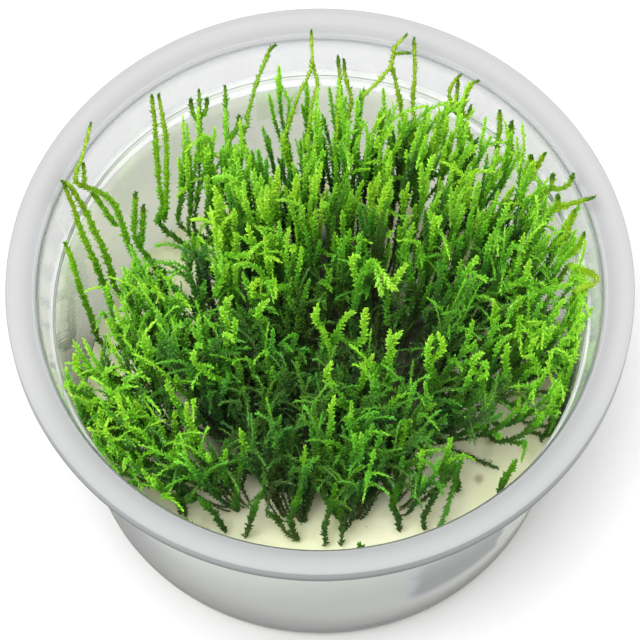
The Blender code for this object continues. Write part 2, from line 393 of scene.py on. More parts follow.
def clearPlastic():  # clearer in the wall than in the thick rim, with painted dark lines along its edges where the plastic bends light, painted grey on its neck and painted shade on the front of the rim
    material, graph = newMaterial("clearPlastic")
    place = graph.place()
    across, deep, height = graph.parts(place)
    height = height * perMetre
    radius = graph.length(across, deep) * perMetre
    rim = graph.between(radius, lipRadius + 0.2, lipRadius + cup["beadWidth"])
    nearSide = graph.between(deep * -perMetre, *plastic["frontFrom"])
    shade = graph.ramp((radius - lipRadius) / (rimRadius - lipRadius), plastic["rimShades"])
    # painted shade: the neck above the step is painted greyer than the clear wall below
    neck = graph.between(height, cup["stepHeight"] - 0.5, cup["stepHeight"] + 2.0)
    wallShade = graph.mixed(neck, plastic["wallShade"], plastic["neckPaintedShade"])
    shade = graph.mixed(rim, wallShade, shade)
    # painted shade and greenish reflection on the front of the rim
    shade = graph.mixed(nearSide * rim * plastic["frontShare"], shade, plastic["frontPaintedShade"])
    thin = plastic["thinLine"]
    atSkirt = graph.near(height, cupTop - cup["skirtDepth"], plastic["wideLine"])
    atLip = graph.near(radius, lipRadius + 0.1, thin + nearSide * 0.25)
    atStep = graph.near(height, cup["stepHeight"] + 0.5, thin)
    atRim = graph.near(radius, rimRadius, thin)
    # painted shade: dark lines along the plastic's edges, where it bends the light
    lines = {
        "skirtEdgeShade": atSkirt * graph.between(radius, rimRadius - 1.0, rimRadius - 0.7),
        "lipEdgeShade": atLip * graph.between(height, cup["neckHeight"] - 0.8, cup["neckHeight"]),
        "stepEdgeShade": atStep * (1 - graph.between(radius, cup["stepRadius"] - 0.2, cup["stepRadius"])),
        "rimEdgeShade": atRim * graph.between(height, cupTop - 0.7, cupTop - 0.3) * 0.8,
    }
    for line, mask in lines.items():
        shade = graph.mixed(mask, shade, plastic[line])
    bump = graph.bump(0.08, graph.speckle(place, 90.0, 2.0))
    gloss = graph.surface({
        "Base Color": shade, "Roughness": plastic["gloss"] + rim * plastic["rimRough"], "IOR": 1.46,
        "Transmission Weight": 1.0, "Normal": bump,
    })
    milk = graph.surface({"Base Color": shade, "Roughness": plastic["milkRough"], "IOR": 1.3})
    share = plastic["wallMilk"] + rim * (plastic["rimMilk"] - plastic["wallMilk"])
    share = share + graph.near(height, cup["stepHeight"] + 0.6, 1.6) * plastic["stepMilk"]
    body = graph.mixedShaders(share, gloss, milk)
    lampRay = graph.node("ShaderNodeLightPath", result="Is Shadow Ray")
    through = graph.node("ShaderNodeBsdfTransparent", {}, {"Color": plastic["shadow"]})
    return finishMaterial(material, graph, graph.mixedShaders(lampRay, body, through))


def makeCup():
    piece = addPiece("cup_shell", turnedMesh("cup_shell", cupProfile(), cup["sides"]), clearPlastic())
    placePiece(piece, "clear_plastic", "cup")
    print("cup made")


# Printed band round the wall. The panel and the patch have their bearings as shares of a turn from +X,
# anticlockwise, and their heights as shares of the way up the outside, to 0.5, and down the inside, to 1.
band = {
    "thickness": 0.25, "sides": 200, "rows": 12,
    "panel": (0.804, 0.872), "panelEdge": (0.012, 0.006), "panelFoot": (0.12, 0.18), "panelTop": (0.36, 0.42),
    "patch": (0.262, 0.29), "patchFoot": (0.60, 0.61),
}
film = {  # a pair of colours is mixed in soft clouds; what stops light lets less of it shine through the film
    "paper": ((0.36, 0.30, 0.60), (0.42, 0.36, 0.66)), "lining": ((0.88, 0.95, 0.58), (0.94, 0.98, 0.70)),
    "panel": [(0.05, (0.16, 0.18, 0.15)), (0.25, (0.07, 0.09, 0.06)), (0.42, (0.26, 0.28, 0.25))],
    "patch": (0.42, 0.66, 0.26), "ink": 0.8, "glow": (0.965, 0.985, 0.90, 1), "roughness": 0.42, "coat": 0.15,
    "translucence": (0.7, 0.85), "panelStops": 0.48, "patchStops": 0.2,
}


def bandProfile():
    def side(start, end, layer):
        ends = []
        for height in (start, end):
            ends.append(Vector((outerRadius(height) + clearance + layer * band["thickness"], height)))
        return [ends[0].lerp(ends[1], row / band["rows"]) for row in range(band["rows"] + 1)]

    low, high = (corner.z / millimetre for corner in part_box("label_band"))
    return side(low, high, 1) + side(high, low, 0)


def printedFilm():
    material, graph = newMaterial("printedFilm")
    place = graph.place()
    bearing, along = graph.parts(graph.node("ShaderNodeUVMap", {"uv_map": "bearing"}))[:2]
    cloud = graph.speckle(place, 60.0, 3.0)
    inside = graph.between(along, 0.497, 0.503)
    edge = bearing + (graph.speckle(place, 240.0, 2.0) - 0.5) * 0.012
    low, high = band["panel"]
    lowSoft, highSoft = band["panelEdge"]
    panel = graph.between(edge, low, low + lowSoft) * (1 - graph.between(edge, high, high + highSoft))
    panel = panel * graph.between(along, *band["panelFoot"]) * (1 - graph.between(along, *band["panelTop"]))
    paper = graph.mixed(cloud, *film["paper"])
    outside = graph.mixed(panel * film["ink"], paper, graph.ramp(along, film["panel"]))
    low, high = band["patch"]
    patch = graph.between(bearing, low, low + 0.002) * (1 - graph.between(bearing, high, high + 0.002))
    patch = patch * (1 - graph.between(along, *band["patchFoot"]))
    lining = graph.mixed(patch * film["ink"], graph.mixed(cloud, *film["lining"]), film["patch"])
    surface = graph.surface({
        "Base Color": graph.mixed(inside, outside, lining), "Roughness": film["roughness"],
        "Coat Weight": film["coat"],
    })
    glow = graph.node("ShaderNodeBsdfTranslucent", {}, {"Color": film["glow"]})
    outwards, inwards = film["translucence"]
    share = outwards + inside * (inwards - outwards - patch * film["patchStops"])
    share = share - panel * (1 - inside) * film["panelStops"]
    return finishMaterial(material, graph, graph.mixedShaders(share, surface, glow))


def makeBand():
    piece = addPiece("printed_band", turnedMesh("printed_band", bandProfile(), band["sides"]), printedFilm())
    placePiece(piece, "printed_film", "label_band")
    print("band made")


# Gel bed, with a soft uneven surface that creeps up at the wall. It has three marks, each as
# ((to the right, to the back), size). A tint is its colour and its share.
gel = {
    "sides": 160, "rings": 40, "gap": 0.12, "creep": 2.5, "dip": 0.35, "wallRound": 0.15, "footRound": 2.0,
    "lump": 0.22, "lumpScale": 0.13, "lumpMost": 0.2, "lumpFrom": 1.5,
    # where the moss stands the gel is painted near black: mostly painted shade under the moss, partly a stain
    # from its roots
    "shadeAndStainTo": 23.0, "shadeAndStainEdge": 5.0, "rootsAside": 1.0, "frontReach": 0.68,
    "marks": [((22.5, -10.4), 1.0), ((27.2, -16.8), 1.3), ((29.5, -9.5), 1.6)],
    "markRagged": 1.5, "shadeAndStainRagged": 14, "body": ((0.68, 0.70, 0.45), (0.79, 0.79, 0.57)),
    "stainTint": ((0.42, 0.45, 0.16), 0.45), "speckTint": ((0.18, 0.12, 0.04), 0.7),
    "markTint": ((0.24, 0.17, 0.08), 0.6), "rootedTint": ((0.014, 0.022, 0.006), 0.95),
    "roughness": 0.3, "shadeAndStainRough": 0.4, "depth": 3.0, "depthColour": (1.0, 0.85, 0.4),
}
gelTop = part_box("gel")[1].z / millimetre
rootHeight = gelTop + clearance


def gelProfile():
    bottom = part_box("gel")[0].z / millimetre
    inset = cup["wall"] + gel["gap"]
    edge = outerRadius(gelTop) - inset
    profile = roundedProfile([
        (0, bottom, 0),
        (outerRadius(bottom) - inset, bottom, gel["footRound"]),
        (edge, gelTop - 0.02, gel["wallRound"]),
        (edge - gel["creep"] * 0.5, gelTop - gel["dip"] * 0.9, 1.0),
    ])[:-1]
    inner = profile[-1].x
    for ring in range(1, gel["rings"] + 1):
        radius = inner * (1 - ring / gel["rings"])
        profile.append(Vector((radius, gelTop - gel["dip"] * (0.4 + 0.6 * radius / inner))))
    profile[-1].x = 0
    return profile


def lumpyGel(point):
    if point.z < gelTop - gel["lumpFrom"] or point.z > gelTop - 0.03:
        return point
    lump = noise.noise(Vector((point.x, point.y, 3.0)) * gel["lumpScale"])
    fine = noise.noise(Vector((point.x, point.y, 9.0)) * gel["lumpScale"] * 3.5)
    return point + up * min(gel["lump"] * lump + 0.25 * gel["lump"] * fine, gel["lumpMost"])


def creamGel():  # darker under the moss: painted shade there, with some stain from its roots
    material, graph = newMaterial("creamGel")

    def tinted(body, mask, name):
        colour, share = gel[name + "Tint"]
        return graph.mixed(mask * share, body, colour)

    place = graph.place()
    broad = graph.speckle(place, 70.0, 3.0)
    fine = graph.speckle(place, 420.0, 4.0)
    body = graph.mixed(graph.between(broad, 0.35, 0.65), *gel["body"])
    body = tinted(body, graph.between(graph.speckle(place, 130.0, 4.0), 0.54, 0.70), "stain")
    body = tinted(body, graph.between(fine, 0.70, 0.76), "speck")
    across, deep = (part * perMetre for part in graph.parts(place)[:2])
    across = across + gel["rootsAside"]
    deep = deep - gel["rootsAside"]
    shallow = graph.maths("MINIMUM", deep, deep * gel["frontReach"])
    out = graph.length(across, shallow) + (broad - 0.5) * gel["shadeAndStainRagged"]
    # painted shade under the moss, partly root stain: the gel turns near black there
    rooted = 1 - graph.between(out, gel["shadeAndStainTo"] - gel["shadeAndStainEdge"], gel["shadeAndStainTo"])
    body = tinted(body, rooted, "rooted")
    for (right, back), size in gel["marks"]:
        sideways = across - (right + gel["rootsAside"])
        depthways = deep - (back - gel["rootsAside"])
        far = graph.length(sideways, depthways) + (fine - 0.5) * gel["markRagged"]
        body = tinted(body, 1 - graph.between(far, 0.1 * size, size), "mark")
    shader = graph.surface({
        "Base Color": body, "Roughness": gel["roughness"] + rooted * gel["shadeAndStainRough"], "IOR": 1.36,
        "Normal": graph.bump(0.25, fine + broad),
        "Subsurface Weight": 0.35, "Subsurface Radius": gel["depthColour"],
        "Subsurface Scale": gel["depth"] * millimetre,
    })
    return finishMaterial(material, graph, shader)


def makeGel():
    mesh = turnedMesh("gel_bed", gelProfile(), gel["sides"], lumpyGel)
    piece = addPiece("gel_bed", mesh, creamGel())
    placePiece(piece, "cream_gel", "gel")
    print("gel made")


# Moss. A strand is a line of points, each with the stem's radius, its leaves' length, its age along the shoot
# from old (0) to young (1), into which painted light and shade are mixed, and its shade, one of eight.
leaf = {
    "halfWidth": 0.29, "widest": 0.42, "cup": 0.12, "shades": 8, "bud": 0.45, "nextToBud": 0.8,
    "spiral": 137.5, "spiralSpread": 0.35, "tilt": (0.7, 1.35), "size": (0.75, 1.2),
    "leftOutBelow": (0.0, 0.7),  # where a strand's leaves are shorter than a length drawn from this range
}


class Growth:  # gathers strands into one mesh of lines
    def __init__(self):
        self.points = []
        self.edges = []
        self.values = {"thick": [], "leafSize": [], "open": [], "age": [], "shade": []}

    def addStrand(self, points, thick, leafSize, age, shade):  # its leaves close up to a bud at its tip
        first = len(self.points)
        last = len(points) - 1
        for index, point in enumerate(points):
            self.points.append(point * millimetre)
            if index:
                self.edges.append((first + index - 1, first + index))
            self.values["thick"].append(thick[index] * millimetre)
            self.values["leafSize"].append(leafSize[index] * millimetre)
            self.values["open"].append({last: leaf["bud"], last - 1: leaf["nextToBud"]}.get(index, 1.0))
            self.values["age"].append(age[index])
            self.values["shade"].append(float(shade))

    def makeMesh(self, name):
        mesh = bpy.data.meshes.new(name)
        mesh.from_pydata(self.points, self.edges, [])
        for key, values in self.values.items():
            mesh.attributes.new(key, "FLOAT", "POINT").data.foreach_set("value", values)
        return mesh


def makeLeafTemplate():  # a keeled blade of four faces along +Z, which opens away from the stem towards +X
    wide, widest, cupped = leaf["halfWidth"], leaf["widest"], leaf["cup"]
    corners = [(0, 0, 0), (-cupped, -wide, widest), (-cupped, wide, widest), (0, 0, 1)]
    faces = [(0, 1, 3), (0, 3, 2), (1, 2, 3), (0, 2, 1)]
    mesh = bpy.data.meshes.new("leaf_template")
    mesh.from_pydata(corners, [], faces)
    shape = bmesh.new()
    shape.from_mesh(mesh)
    bmesh.ops.recalc_face_normals(shape, faces=shape.faces)
    shape.to_mesh(mesh)
    shape.free()
    mesh.attributes.new("along", "FLOAT", "POINT").data.foreach_set("value", (0.0, widest, widest, 1.0))
    mesh.attributes.new("side", "FLOAT", "POINT").data.foreach_set("value", (0.0, -1.0, 1.0, 0.0))
    template = bpy.data.objects.new("leaf_template", mesh)
    bpy.context.scene.collection.objects.link(template)
    return template


def makeLeafyShoots():  # Geometry Nodes: lines of growth become stems with leaves in a spiral round them
    tree = bpy.data.node_groups.new("leafyShoots", "GeometryNodeTree")
    sockets = {}
    inputs = [
        ("Growth", "NodeSocketGeometry", None), ("Leaf", "NodeSocketObject", None),
        ("Leaf spacing", "NodeSocketFloat", 0.00026), ("Leaf spread", "NodeSocketFloat", 0.6),
        ("Finish", "NodeSocketMaterial", None), ("Seed", "NodeSocketInt", 1),
    ]
    for name, kind, value in inputs:
        made = tree.interface.new_socket(name=name, in_out="INPUT", socket_type=kind)
        if value is not None:
            made.default_value = value
        sockets[name] = made.identifier
    tree.interface.new_socket(name="Moss", in_out="OUTPUT", socket_type="NodeSocketGeometry")
    graph = Graph(tree)
    entry = graph.node("NodeGroupInput").socket.node

    def given(name):
        return Wire(graph, socketOf(entry.outputs, sockets[name]))

    def named(name):
        settings = {"data_type": "FLOAT"}
        return graph.node("GeometryNodeInputNamedAttribute", settings, {"Name": name}, "Attribute")

    def chance(low, high, step):
        keys = {"Min_001": low, "Max_001": high, "Seed": given("Seed") + step}
        return graph.node("FunctionNodeRandomValue", {"data_type": "FLOAT"}, keys, "Value_001")

    def stored(geometry, name, value, kind="FLOAT", domain="POINT"):
        settings = {"data_type": kind, "domain": domain}
        keys = {"Geometry": geometry, "Name": name, "Value": value}
        return graph.node("GeometryNodeStoreNamedAttribute", settings, keys)

    def shaded(geometry, smooth):
        return graph.node("GeometryNodeSetShadeSmooth", {}, {"Geometry": geometry, "Shade Smooth": smooth})

    def turning(axis, angle):
        return graph.node("FunctionNodeAxisAngleToRotation", {}, {"Axis": axis, "Angle": angle})

    def turnedBy(rotation, turn):
        keys = {"Rotation": rotation, "Rotate By": turn}
        return graph.node("FunctionNodeRotateRotation", {"rotation_space": "LOCAL"}, keys)

    def combined(values):
        return graph.node("ShaderNodeCombineXYZ", {}, values)

    curve = graph.node("GeometryNodeMeshToCurve", {}, {"Mesh": given("Growth")})
    curve = graph.node("GeometryNodeSetCurveRadius", {}, {"Curve": curve, "Radius": named("thick")})
    ring = graph.node("GeometryNodeCurvePrimitiveCircle", {}, {"Resolution": 3, "Radius": 1.0})
    ring = stored(ring, "around", graph.node("GeometryNodeSplineParameter", result="Factor"))
    stems = graph.node("GeometryNodeCurveToMesh", {}, {
        "Curve": curve, "Profile Curve": ring, "Fill Caps": True, "Scale": named("thick"),
    })
    stems = shaded(stems, True)
    keys = {"Curve": curve, "Length": given("Leaf spacing")}
    spots = graph.node("GeometryNodeCurveToPoints", {"mode": "LENGTH"}, keys)
    turned = Wire(graph, spots.socket.node.outputs["Rotation"])
    index = graph.node("GeometryNodeInputIndex")
    spread = leaf["spiralSpread"]
    spiral = turning((0, 0, 1), index * math.radians(leaf["spiral"]) + chance(-spread, spread, 1))
    tilt = turning((0, 1, 0), given("Leaf spread") * named("open") * chance(*leaf["tilt"], 2))
    turned = turnedBy(turnedBy(turned, spiral), tilt)
    blade = graph.node("GeometryNodeObjectInfo", {}, {"Object": given("Leaf")}, "Geometry")
    size = named("leafSize") * chance(*leaf["size"], 3)
    shortest, longest = (length * millimetre for length in leaf["leftOutBelow"])
    kept = graph.node("FunctionNodeCompare", {"data_type": "FLOAT", "operation": "GREATER_THAN"}, {
        "A": named("leafSize"), "B": chance(shortest, longest, 4),
    })
    leaves = graph.node("GeometryNodeInstanceOnPoints", {}, {
        "Points": spots, "Selection": kept, "Instance": blade, "Rotation": turned,
        "Scale": combined({"X": size, "Y": size, "Z": size}),
    })
    leaves = graph.node("GeometryNodeRealizeInstances", {}, {"Geometry": leaves})
    leaves = shaded(leaves, False)
    # The UV map is age, with its painted light and shade, by shade, a row for each shade. A stem takes the
    # foot of its row, and a leaf the rest.
    rows = leaf["shades"]
    across = 0.02 + named("age") * 0.96
    stemMap = combined({
        "X": across + named("around") * 0.004, "Y": (named("shade") + 0.02 + named("around") * 0.06) / rows,
    })
    leafMap = combined({
        "X": across + named("side") * 0.006, "Y": (named("shade") + 0.1 + named("along") * 0.8) / rows,
    })
    for name in ("growth", "OFBake"):
        stems = stored(stems, name, stemMap, "FLOAT2", "CORNER")
        leaves = stored(leaves, name, leafMap, "FLOAT2", "CORNER")
    joined = graph.node("GeometryNodeJoinGeometry")
    graph.tree.links.new(leaves.socket, joined.socket.node.inputs[0])
    graph.tree.links.new(stems.socket, joined.socket.node.inputs[0])
    moss = graph.node("GeometryNodeRealizeInstances", {}, {"Geometry": joined})
    moss = graph.node("GeometryNodeSetMaterial", {}, {"Geometry": moss, "Material": given("Finish")})
    graph.node("NodeGroupOutput", {}, {0: moss})
    return tree, sockets


# The look of a piece is its material, its slot, and the spacing and spread of its leaves.
def growPiece(node, growth, tools, look, seed):
    tree, sockets, template = tools
    name = "moss_" + node
    guide = addPiece(name + "_guide", growth.makeMesh(name + "_guide"), None)
    nodes = guide.modifiers.new("leafyShoots", "NODES")
    nodes.node_group = tree
    nodes[sockets["Leaf"]] = template
    nodes[sockets["Leaf spacing"]] = look["spacing"] * millimetre
    nodes[sockets["Leaf spread"]] = math.radians(look["spread"])
    nodes[sockets["Finish"]] = look["finish"]
    nodes[sockets["Seed"]] = seed
    evaluated = guide.evaluated_get(bpy.context.evaluated_depsgraph_get())
    mesh = bpy.data.meshes.new_from_object(evaluated)
    guide.modifiers.remove(nodes)
    bpy.data.objects.remove(guide)
    mesh.name = name
    for extra in (*growth.values, "around", "along", "side"):
        if extra in mesh.attributes:
            mesh.attributes.remove(mesh.attributes[extra])
    piece = addPiece(name, mesh, look["finish"])
    placePiece(piece, look["slot"], node)
    return sum(len(polygon.vertices) - 2 for polygon in mesh.polygons)


# Moss colours run from old to young, and with them from painted shade to painted light. The tip colours lie
# on the leaves' ends, the stem colour on the stems.
moss = {
    "leafAges": [
        (0.0, (0.085, 0.070, 0.028)), (0.1, (0.045, 0.095, 0.028)), (0.3, (0.065, 0.235, 0.020)),
        (0.5, (0.125, 0.47, 0.018)), (0.72, (0.26, 0.71, 0.028)), (1.0, (0.51, 0.93, 0.07)),
    ],
    "leafTip": (0.58, 0.90, 0.10), "leafStem": (0.20, 0.22, 0.05),
    "stemAges": [
        (0.0, (0.03, 0.07, 0.015)), (0.2, (0.05, 0.18, 0.015)), (0.45, (0.16, 0.50, 0.015)),
        (0.7, (0.30, 0.64, 0.028)), (0.9, (0.36, 0.56, 0.032)), (0.96, (0.04, 0.16, 0.012)),
        (1.0, (0.02, 0.10, 0.01)),
    ],
    "stemTip": (0.24, 0.46, 0.03), "stemStem": (0.46, 0.66, 0.04),
    "shades": [(0.0, (0.62, 0.80, 0.95)), (0.45, (0.95, 0.97, 1.0)), (1.0, (1.0, 0.93, 0.7))],
    "tipShare": 0.5, "stemShare": 0.3, "through": (0.45, 0.80, 0.07, 1), "throughShare": (0.03, 0.3),
    "roughness": 0.42, "shine": 0.4,
}


def mossMaterial(name, part):
    material, graph = newMaterial(name)
    age, row = graph.parts(graph.node("ShaderNodeUVMap", {"uv_map": "growth"}))[:2]
    row = row * leaf["shades"]
    along = graph.maths("FRACT", row)
    shade = graph.maths("FLOOR", row) / (leaf["shades"] - 1)
    colour = graph.ramp(age, moss[part + "Ages"])
    colour = graph.mixed(1.0, colour, graph.ramp(shade, moss["shades"]), "MULTIPLY")
    onLeaf = graph.between(along, 0.085, 0.1)
    tip = graph.between(along, 0.35, 0.95) * onLeaf
    colour = graph.mixed(tip * graph.between(age, 0.3, 0.9) * moss["tipShare"], colour, moss[part + "Tip"])
    colour = graph.mixed((1 - onLeaf) * moss["stemShare"], colour, moss[part + "Stem"])
    gloss = graph.surface({
        "Base Color": colour, "Roughness": moss["roughness"], "IOR": 1.4, "Specular IOR Level": moss["shine"],
    })
    through = graph.node("ShaderNodeBsdfTranslucent", {}, {"Color": moss["through"]})
    least, more = moss["throughShare"]
    share = least + graph.between(age, 0.4, 0.95) * more * onLeaf
    return finishMaterial(material, graph, graph.mixedShaders(share, gloss, through))


# Tufts: how the shoots of a tuft stand round its root and fan out, as its solid does
fan = {
    "centre": Vector((0.0, 1.0)), "crownRise": 38.0, "bend": 0.75, "spread": 0.36, "frontSpread": 0.08,
    "leftSpread": 0.2, "leftOf": -12.0, "leftBehind": -8.0, "cornerSpread": 0.2, "cornerWidth": 22.0,
}
# A pair of values holds for the straight shoots at the back first, then for the curly ones in front.
tuft = {
    # how many shoots stand round its root, how near, and where the clump ends in front
    "shoots": (11, 17), "sideShoots": 3, "sideFrom": 18.0, "reach": 4.9, "spiral": 2.39996, "rootJitter": 0.5,
    "frontEdge": -23.5, "frontMost": -28.0, "foreShare": 0.2, "edgeJitter": 2.0,
    "curlyFrom": 15.0, "curlyOver": 9.0,
    # how far its feet gather to the root, in front and at the left, or elsewhere
    "gather": 0.55, "backGather": 0.2, "gatherFrontOf": -8.0, "gatherLeftOf": -20.0,
    # how tall its shoots are, and how they lean, sway and curl
    "tallShare": (0.6, 0.4), "tallFall": (4.0, 3.0), "lowFall": ((3, 9), (7, 16)), "leastFall": 0.2,
    "step": 1.4, "fewestSteps": 12, "leastRise": 0.3, "wallGap": 0.9, "wholeTurn": 6.28,
    "lean": (0.7, 1.5), "leanBend": 1.3, "leanShare": (0.5, 1.1), "leanAtFoot": 0.25, "backLean": 2.4,
    "footBend": 1.7, "lockScale": 0.09, "lockDrift": (2.2, 3.6), "sway": 0.6,
    "curlShare": (0.15, 0.75), "curlLength": (2.2, 6.0), "curlTurn": (40, 175),
    # its stems and leaves
    "stem": 0.17, "leafLength": (0.98, 0.88), "leafJitter": (0.85, 1.12), "spacing": (0.2, 0.215),
    "leafSpread": (40, 45), "bareTo": 0.3, "foreBareTo": 0.12,
    # how young they look, and so how light; on top of that, painted light makes them lighter at the back and
    # at the left and darker in front, and painted shade darkens them in the hollows
    "glow": (1.62, 0.96), "frontPaintedLight": 0.8, "paintedLightFrontOf": -5.0, "leftPaintedLight": 1.2, "paintedLightLeftOf": -14.0,
    "tallYouth": (0.9, 1.12), "lowYouth": (0.6, 0.85), "oldShare": 0.11, "oldYouth": (0.3, 0.5),
    "shadow": 0.45,
}
branching = {  # of a shoot into upright columns, and of a column into twigs
    "columns": (3, 4), "columnFrom": 0.3, "columnOver": 0.5, "columnLength": (0.45, 0.98), "shortest": 2.5,
    "columnAngle": ((6, 15), (8, 24)), "columnLift": (0.05, 0.16), "columnYouth": (0.75, 1.08),
    "turn": 2.4, "turnJitter": 0.5, "twigs": (1, 3), "twigPlace": (0.45, 0.9), "twigLength": (1.0, 2.4),
    "twigAngle": (28, 52), "twigLift": (0.05, 0.3), "twigStem": 0.12, "twigLeaf": 0.8,
}
ageingAndShade = {  # of a strand: lighter with its height in the clump, partly for age and partly as painted shade lower down, and near its tip
    "least": 0.12, "withHeight": 0.28, "nearTip": 0.60, "youngLength": 13.0,
    "budLength": 1.5, "budShrink": 0.35, "footThick": 1.1, "taper": 0.4, "tipThick": 0.5,
}
traced = {  # shoots that follow the photo: the single fronds, and the bushes with their branches
    "frond": {"stem": 0.18, "leafLength": 1.0, "youth": 1.1, "bareTo": 0}, "frondStep": 1.2,
    "twist": 0.7, "twistScale": 0.35, "bushYouth": (1.05, 1.3), "bushCrown": 3.0,
    "rootedBelow": 3, "footDrop": 8.0, "footShare": 0.4,
}
dips = {"steepness": 2.2, "shadowFrom": 1.2, "shadowSteepness": 2.0, "darkest": 20.0}  # of the hollows
leaning = {  # where the crown of a tuft leans to, over its solid's: across and towards the back
    "tuft_18": (1.5, -0.5), "tuft_19": (5.0, -0.5), "tuft_20": (3.0, -2.5), "tuft_21": (2.0, 0.0),
    "tuft_28": (-3.5, -2.0), "tuft_29": (-5.0, -1.5), "tuft_30": (-4.0, -1.5), "tuft_33": (0.5, 1.5),
}
# The share of its shoots that a tuft has
sparse = {"tuft_29": 0.7, "tuft_30": 0.65, "tuft_31": 0.75, "tuft_33": 0.5}
hollows = [  # dips in the canopy, by the places the photo shows: (across, down, height), radius, depth
    ((276, 112, 50), 7.5, 14.0), ((235, 128, 48), 4.0, 8.0), ((375, 105, 50), 4.0, 9.0),
    ((345, 318, 36), 8.5, 20.0), ((394, 334, 36), 8.0, 20.0), ((310, 345, 38), 5.0, 15.0),
    ((415, 312, 38), 5.0, 12.0), ((205, 312, 42), 4.0, 15.0), ((284, 336, 38), 4.5, 16.0),
    ((250, 322, 40), 3.5, 13.0), ((235, 425, 38), 5.5, 17.0), ((300, 405, 38), 5.5, 18.0),
    ((275, 445, 34), 5.5, 18.0), ((445, 385, 38), 5.0, 15.0), ((500, 330, 40), 4.5, 13.0),
    ((395, 455, 34), 4.5, 14.0), ((330, 235, 42), 3.5, 9.0), ((355, 430, 36), 4.0, 14.0),
]
fronds = [  # single fronds that the photo shows well, from the base to the tip: (across, down, height)
    (
        (356, 301, 34), (360, 283, 41), (364, 270, 46), (373, 261, 49), (380, 268, 49), (389, 281, 46),
        (397, 290, 43),
    ),
    ((373, 262, 48), (378, 282, 45), (383, 294, 42)),
    ((388, 287, 42), (396, 279, 45), (402, 271, 48), (406, 264, 50)),
    ((357, 285, 38), (352, 265, 44), (354, 258, 46), (358, 257, 47)),
    ((325, 344, 36), (322, 330, 40), (315, 319, 43), (318, 304, 47)),
    ((332, 352, 35), (326, 338, 39), (321, 328, 41)),
    ((338, 336, 38), (347, 342, 39), (356, 343, 40), (364, 338, 42), (363, 320, 46), (365, 310, 49)),
    ((330, 345, 34), (340, 325, 40), (346, 316, 43), (352, 311, 45)),
    ((429, 393, 34), (430, 366, 42), (427, 352, 46), (431, 336, 49.5)),
    ((430, 364, 42), (435, 358, 44), (443, 348, 47), (439, 334, 50)),
    ((389, 378, 36), (389, 358, 42), (394, 342, 46), (401, 332, 49)),
    ((391, 356, 42), (391, 344, 46), (390, 331, 49)),
    ((361, 384, 36), (366, 366, 42), (373, 355, 45)),
    ((326, 400, 36), (334, 389, 40), (326, 374, 43), (331, 364, 46)),
    ((478, 396, 36), (480, 380, 40), (472, 365, 43), (481, 352, 47)),
    ((412, 424, 34), (420, 414, 37), (434, 404, 40)),
    ((501, 291, 40), (510, 286, 44), (520, 281, 46), (526, 276, 48), (530, 261, 52)),
    ((524, 281, 46), (531, 287, 46), (538, 291, 46), (552, 287, 48), (569, 284, 50)),
    ((494, 325, 38), (495, 315, 41), (494, 303, 45)),
    ((515, 320, 38), (516, 308, 42), (520, 296, 46)),
    ((537, 372, 38), (536, 364, 41), (531, 357, 43), (523, 356, 43)),
    ((503, 376, 38), (505, 360, 42), (508, 345, 46)),
    ((240, 316, 38), (228, 312, 42), (225, 303, 45), (232, 296, 47)),
    ((286, 287, 42), (274, 291, 43), (258, 297, 43), (252, 289, 46), (258, 279, 49)),
    ((266, 324, 37), (259, 314, 41), (262, 305, 44), (268, 301, 46)),
    ((216, 290, 41), (222, 278, 44), (226, 266, 47)),
    ((222, 258, 44), (234, 256, 46), (246, 256, 48), (251, 252, 50)),
    ((223, 383, 38), (219, 380, 40), (208, 373, 43), (195, 363, 46), (194, 352, 49)),
    ((187, 423, 36), (180, 409, 39), (172, 395, 43), (166, 381, 47)),
    ((152, 429, 35), (144, 416, 39), (136, 403, 43)),
    ((148, 360, 40), (149, 350, 44), (148, 340, 48)),
    ((98, 377, 38), (86, 375, 41), (79, 370, 44), (74, 357, 48)),
    ((84, 425, 34), (79, 407, 39), (74, 394, 43)),
    ((78, 411, 38), (88, 409, 40), (94, 399, 43)),
    ((307, 505, 18), (306, 485, 24), (305, 465, 30), (302, 457, 33)),
    ((307, 470, 29), (315, 455, 33), (318, 442, 37)),
    ((297, 541, 13), (285, 531, 15), (277, 521, 17), (268, 511, 20)),
    ((226, 532, 13), (218, 519, 18), (209, 506, 22), (198, 498, 25)),
    ((245, 538, 13), (249, 525, 16), (254, 509, 21), (262, 490, 27)),
    ((299, 541, 13), (291, 527, 17), (293, 509, 22), (300, 492, 28)),
    ((424, 530, 13), (424, 517, 17), (431, 503, 21), (441, 483, 27), (446, 465, 32), (449, 440, 38)),
    ((400, 532, 13), (396, 514, 18), (392, 505, 21), (399, 484, 27)),
    ((457, 492, 13), (456, 476, 21), (450, 468, 24)),
    ((325, 546, 13), (326, 525, 18), (331, 505, 23), (335, 485, 29)),
    ((341, 546, 13), (342, 522, 18), (338, 500, 24)),
    ((181, 515, 15), (179, 495, 21), (177, 470, 29), (174, 450, 35)),
    ((186, 517, 14), (183, 497, 20), (182, 474, 27)),
    ((334, 500, 24), (333, 470, 31), (329, 440, 37), (331, 415, 42), (334, 398, 45)),
    ((324, 496, 24), (322, 466, 31), (318, 436, 38), (313, 410, 43)),
    ((300, 492, 28), (303, 470, 33), (305, 450, 37)),
    ((235, 500, 24), (240, 470, 31), (244, 446, 36), (240, 430, 40)),
    ((205, 470, 28), (200, 445, 34), (190, 425, 39), (186, 405, 43)),
    ((345, 470, 30), (352, 450, 35), (358, 432, 39), (352, 420, 42)),
    ((395, 470, 28), (400, 450, 33), (404, 432, 38), (410, 420, 41)),
    ((450, 449, 13.3), (465, 454, 13.4), (480, 461, 13.5), (496, 467, 13.4)),
]
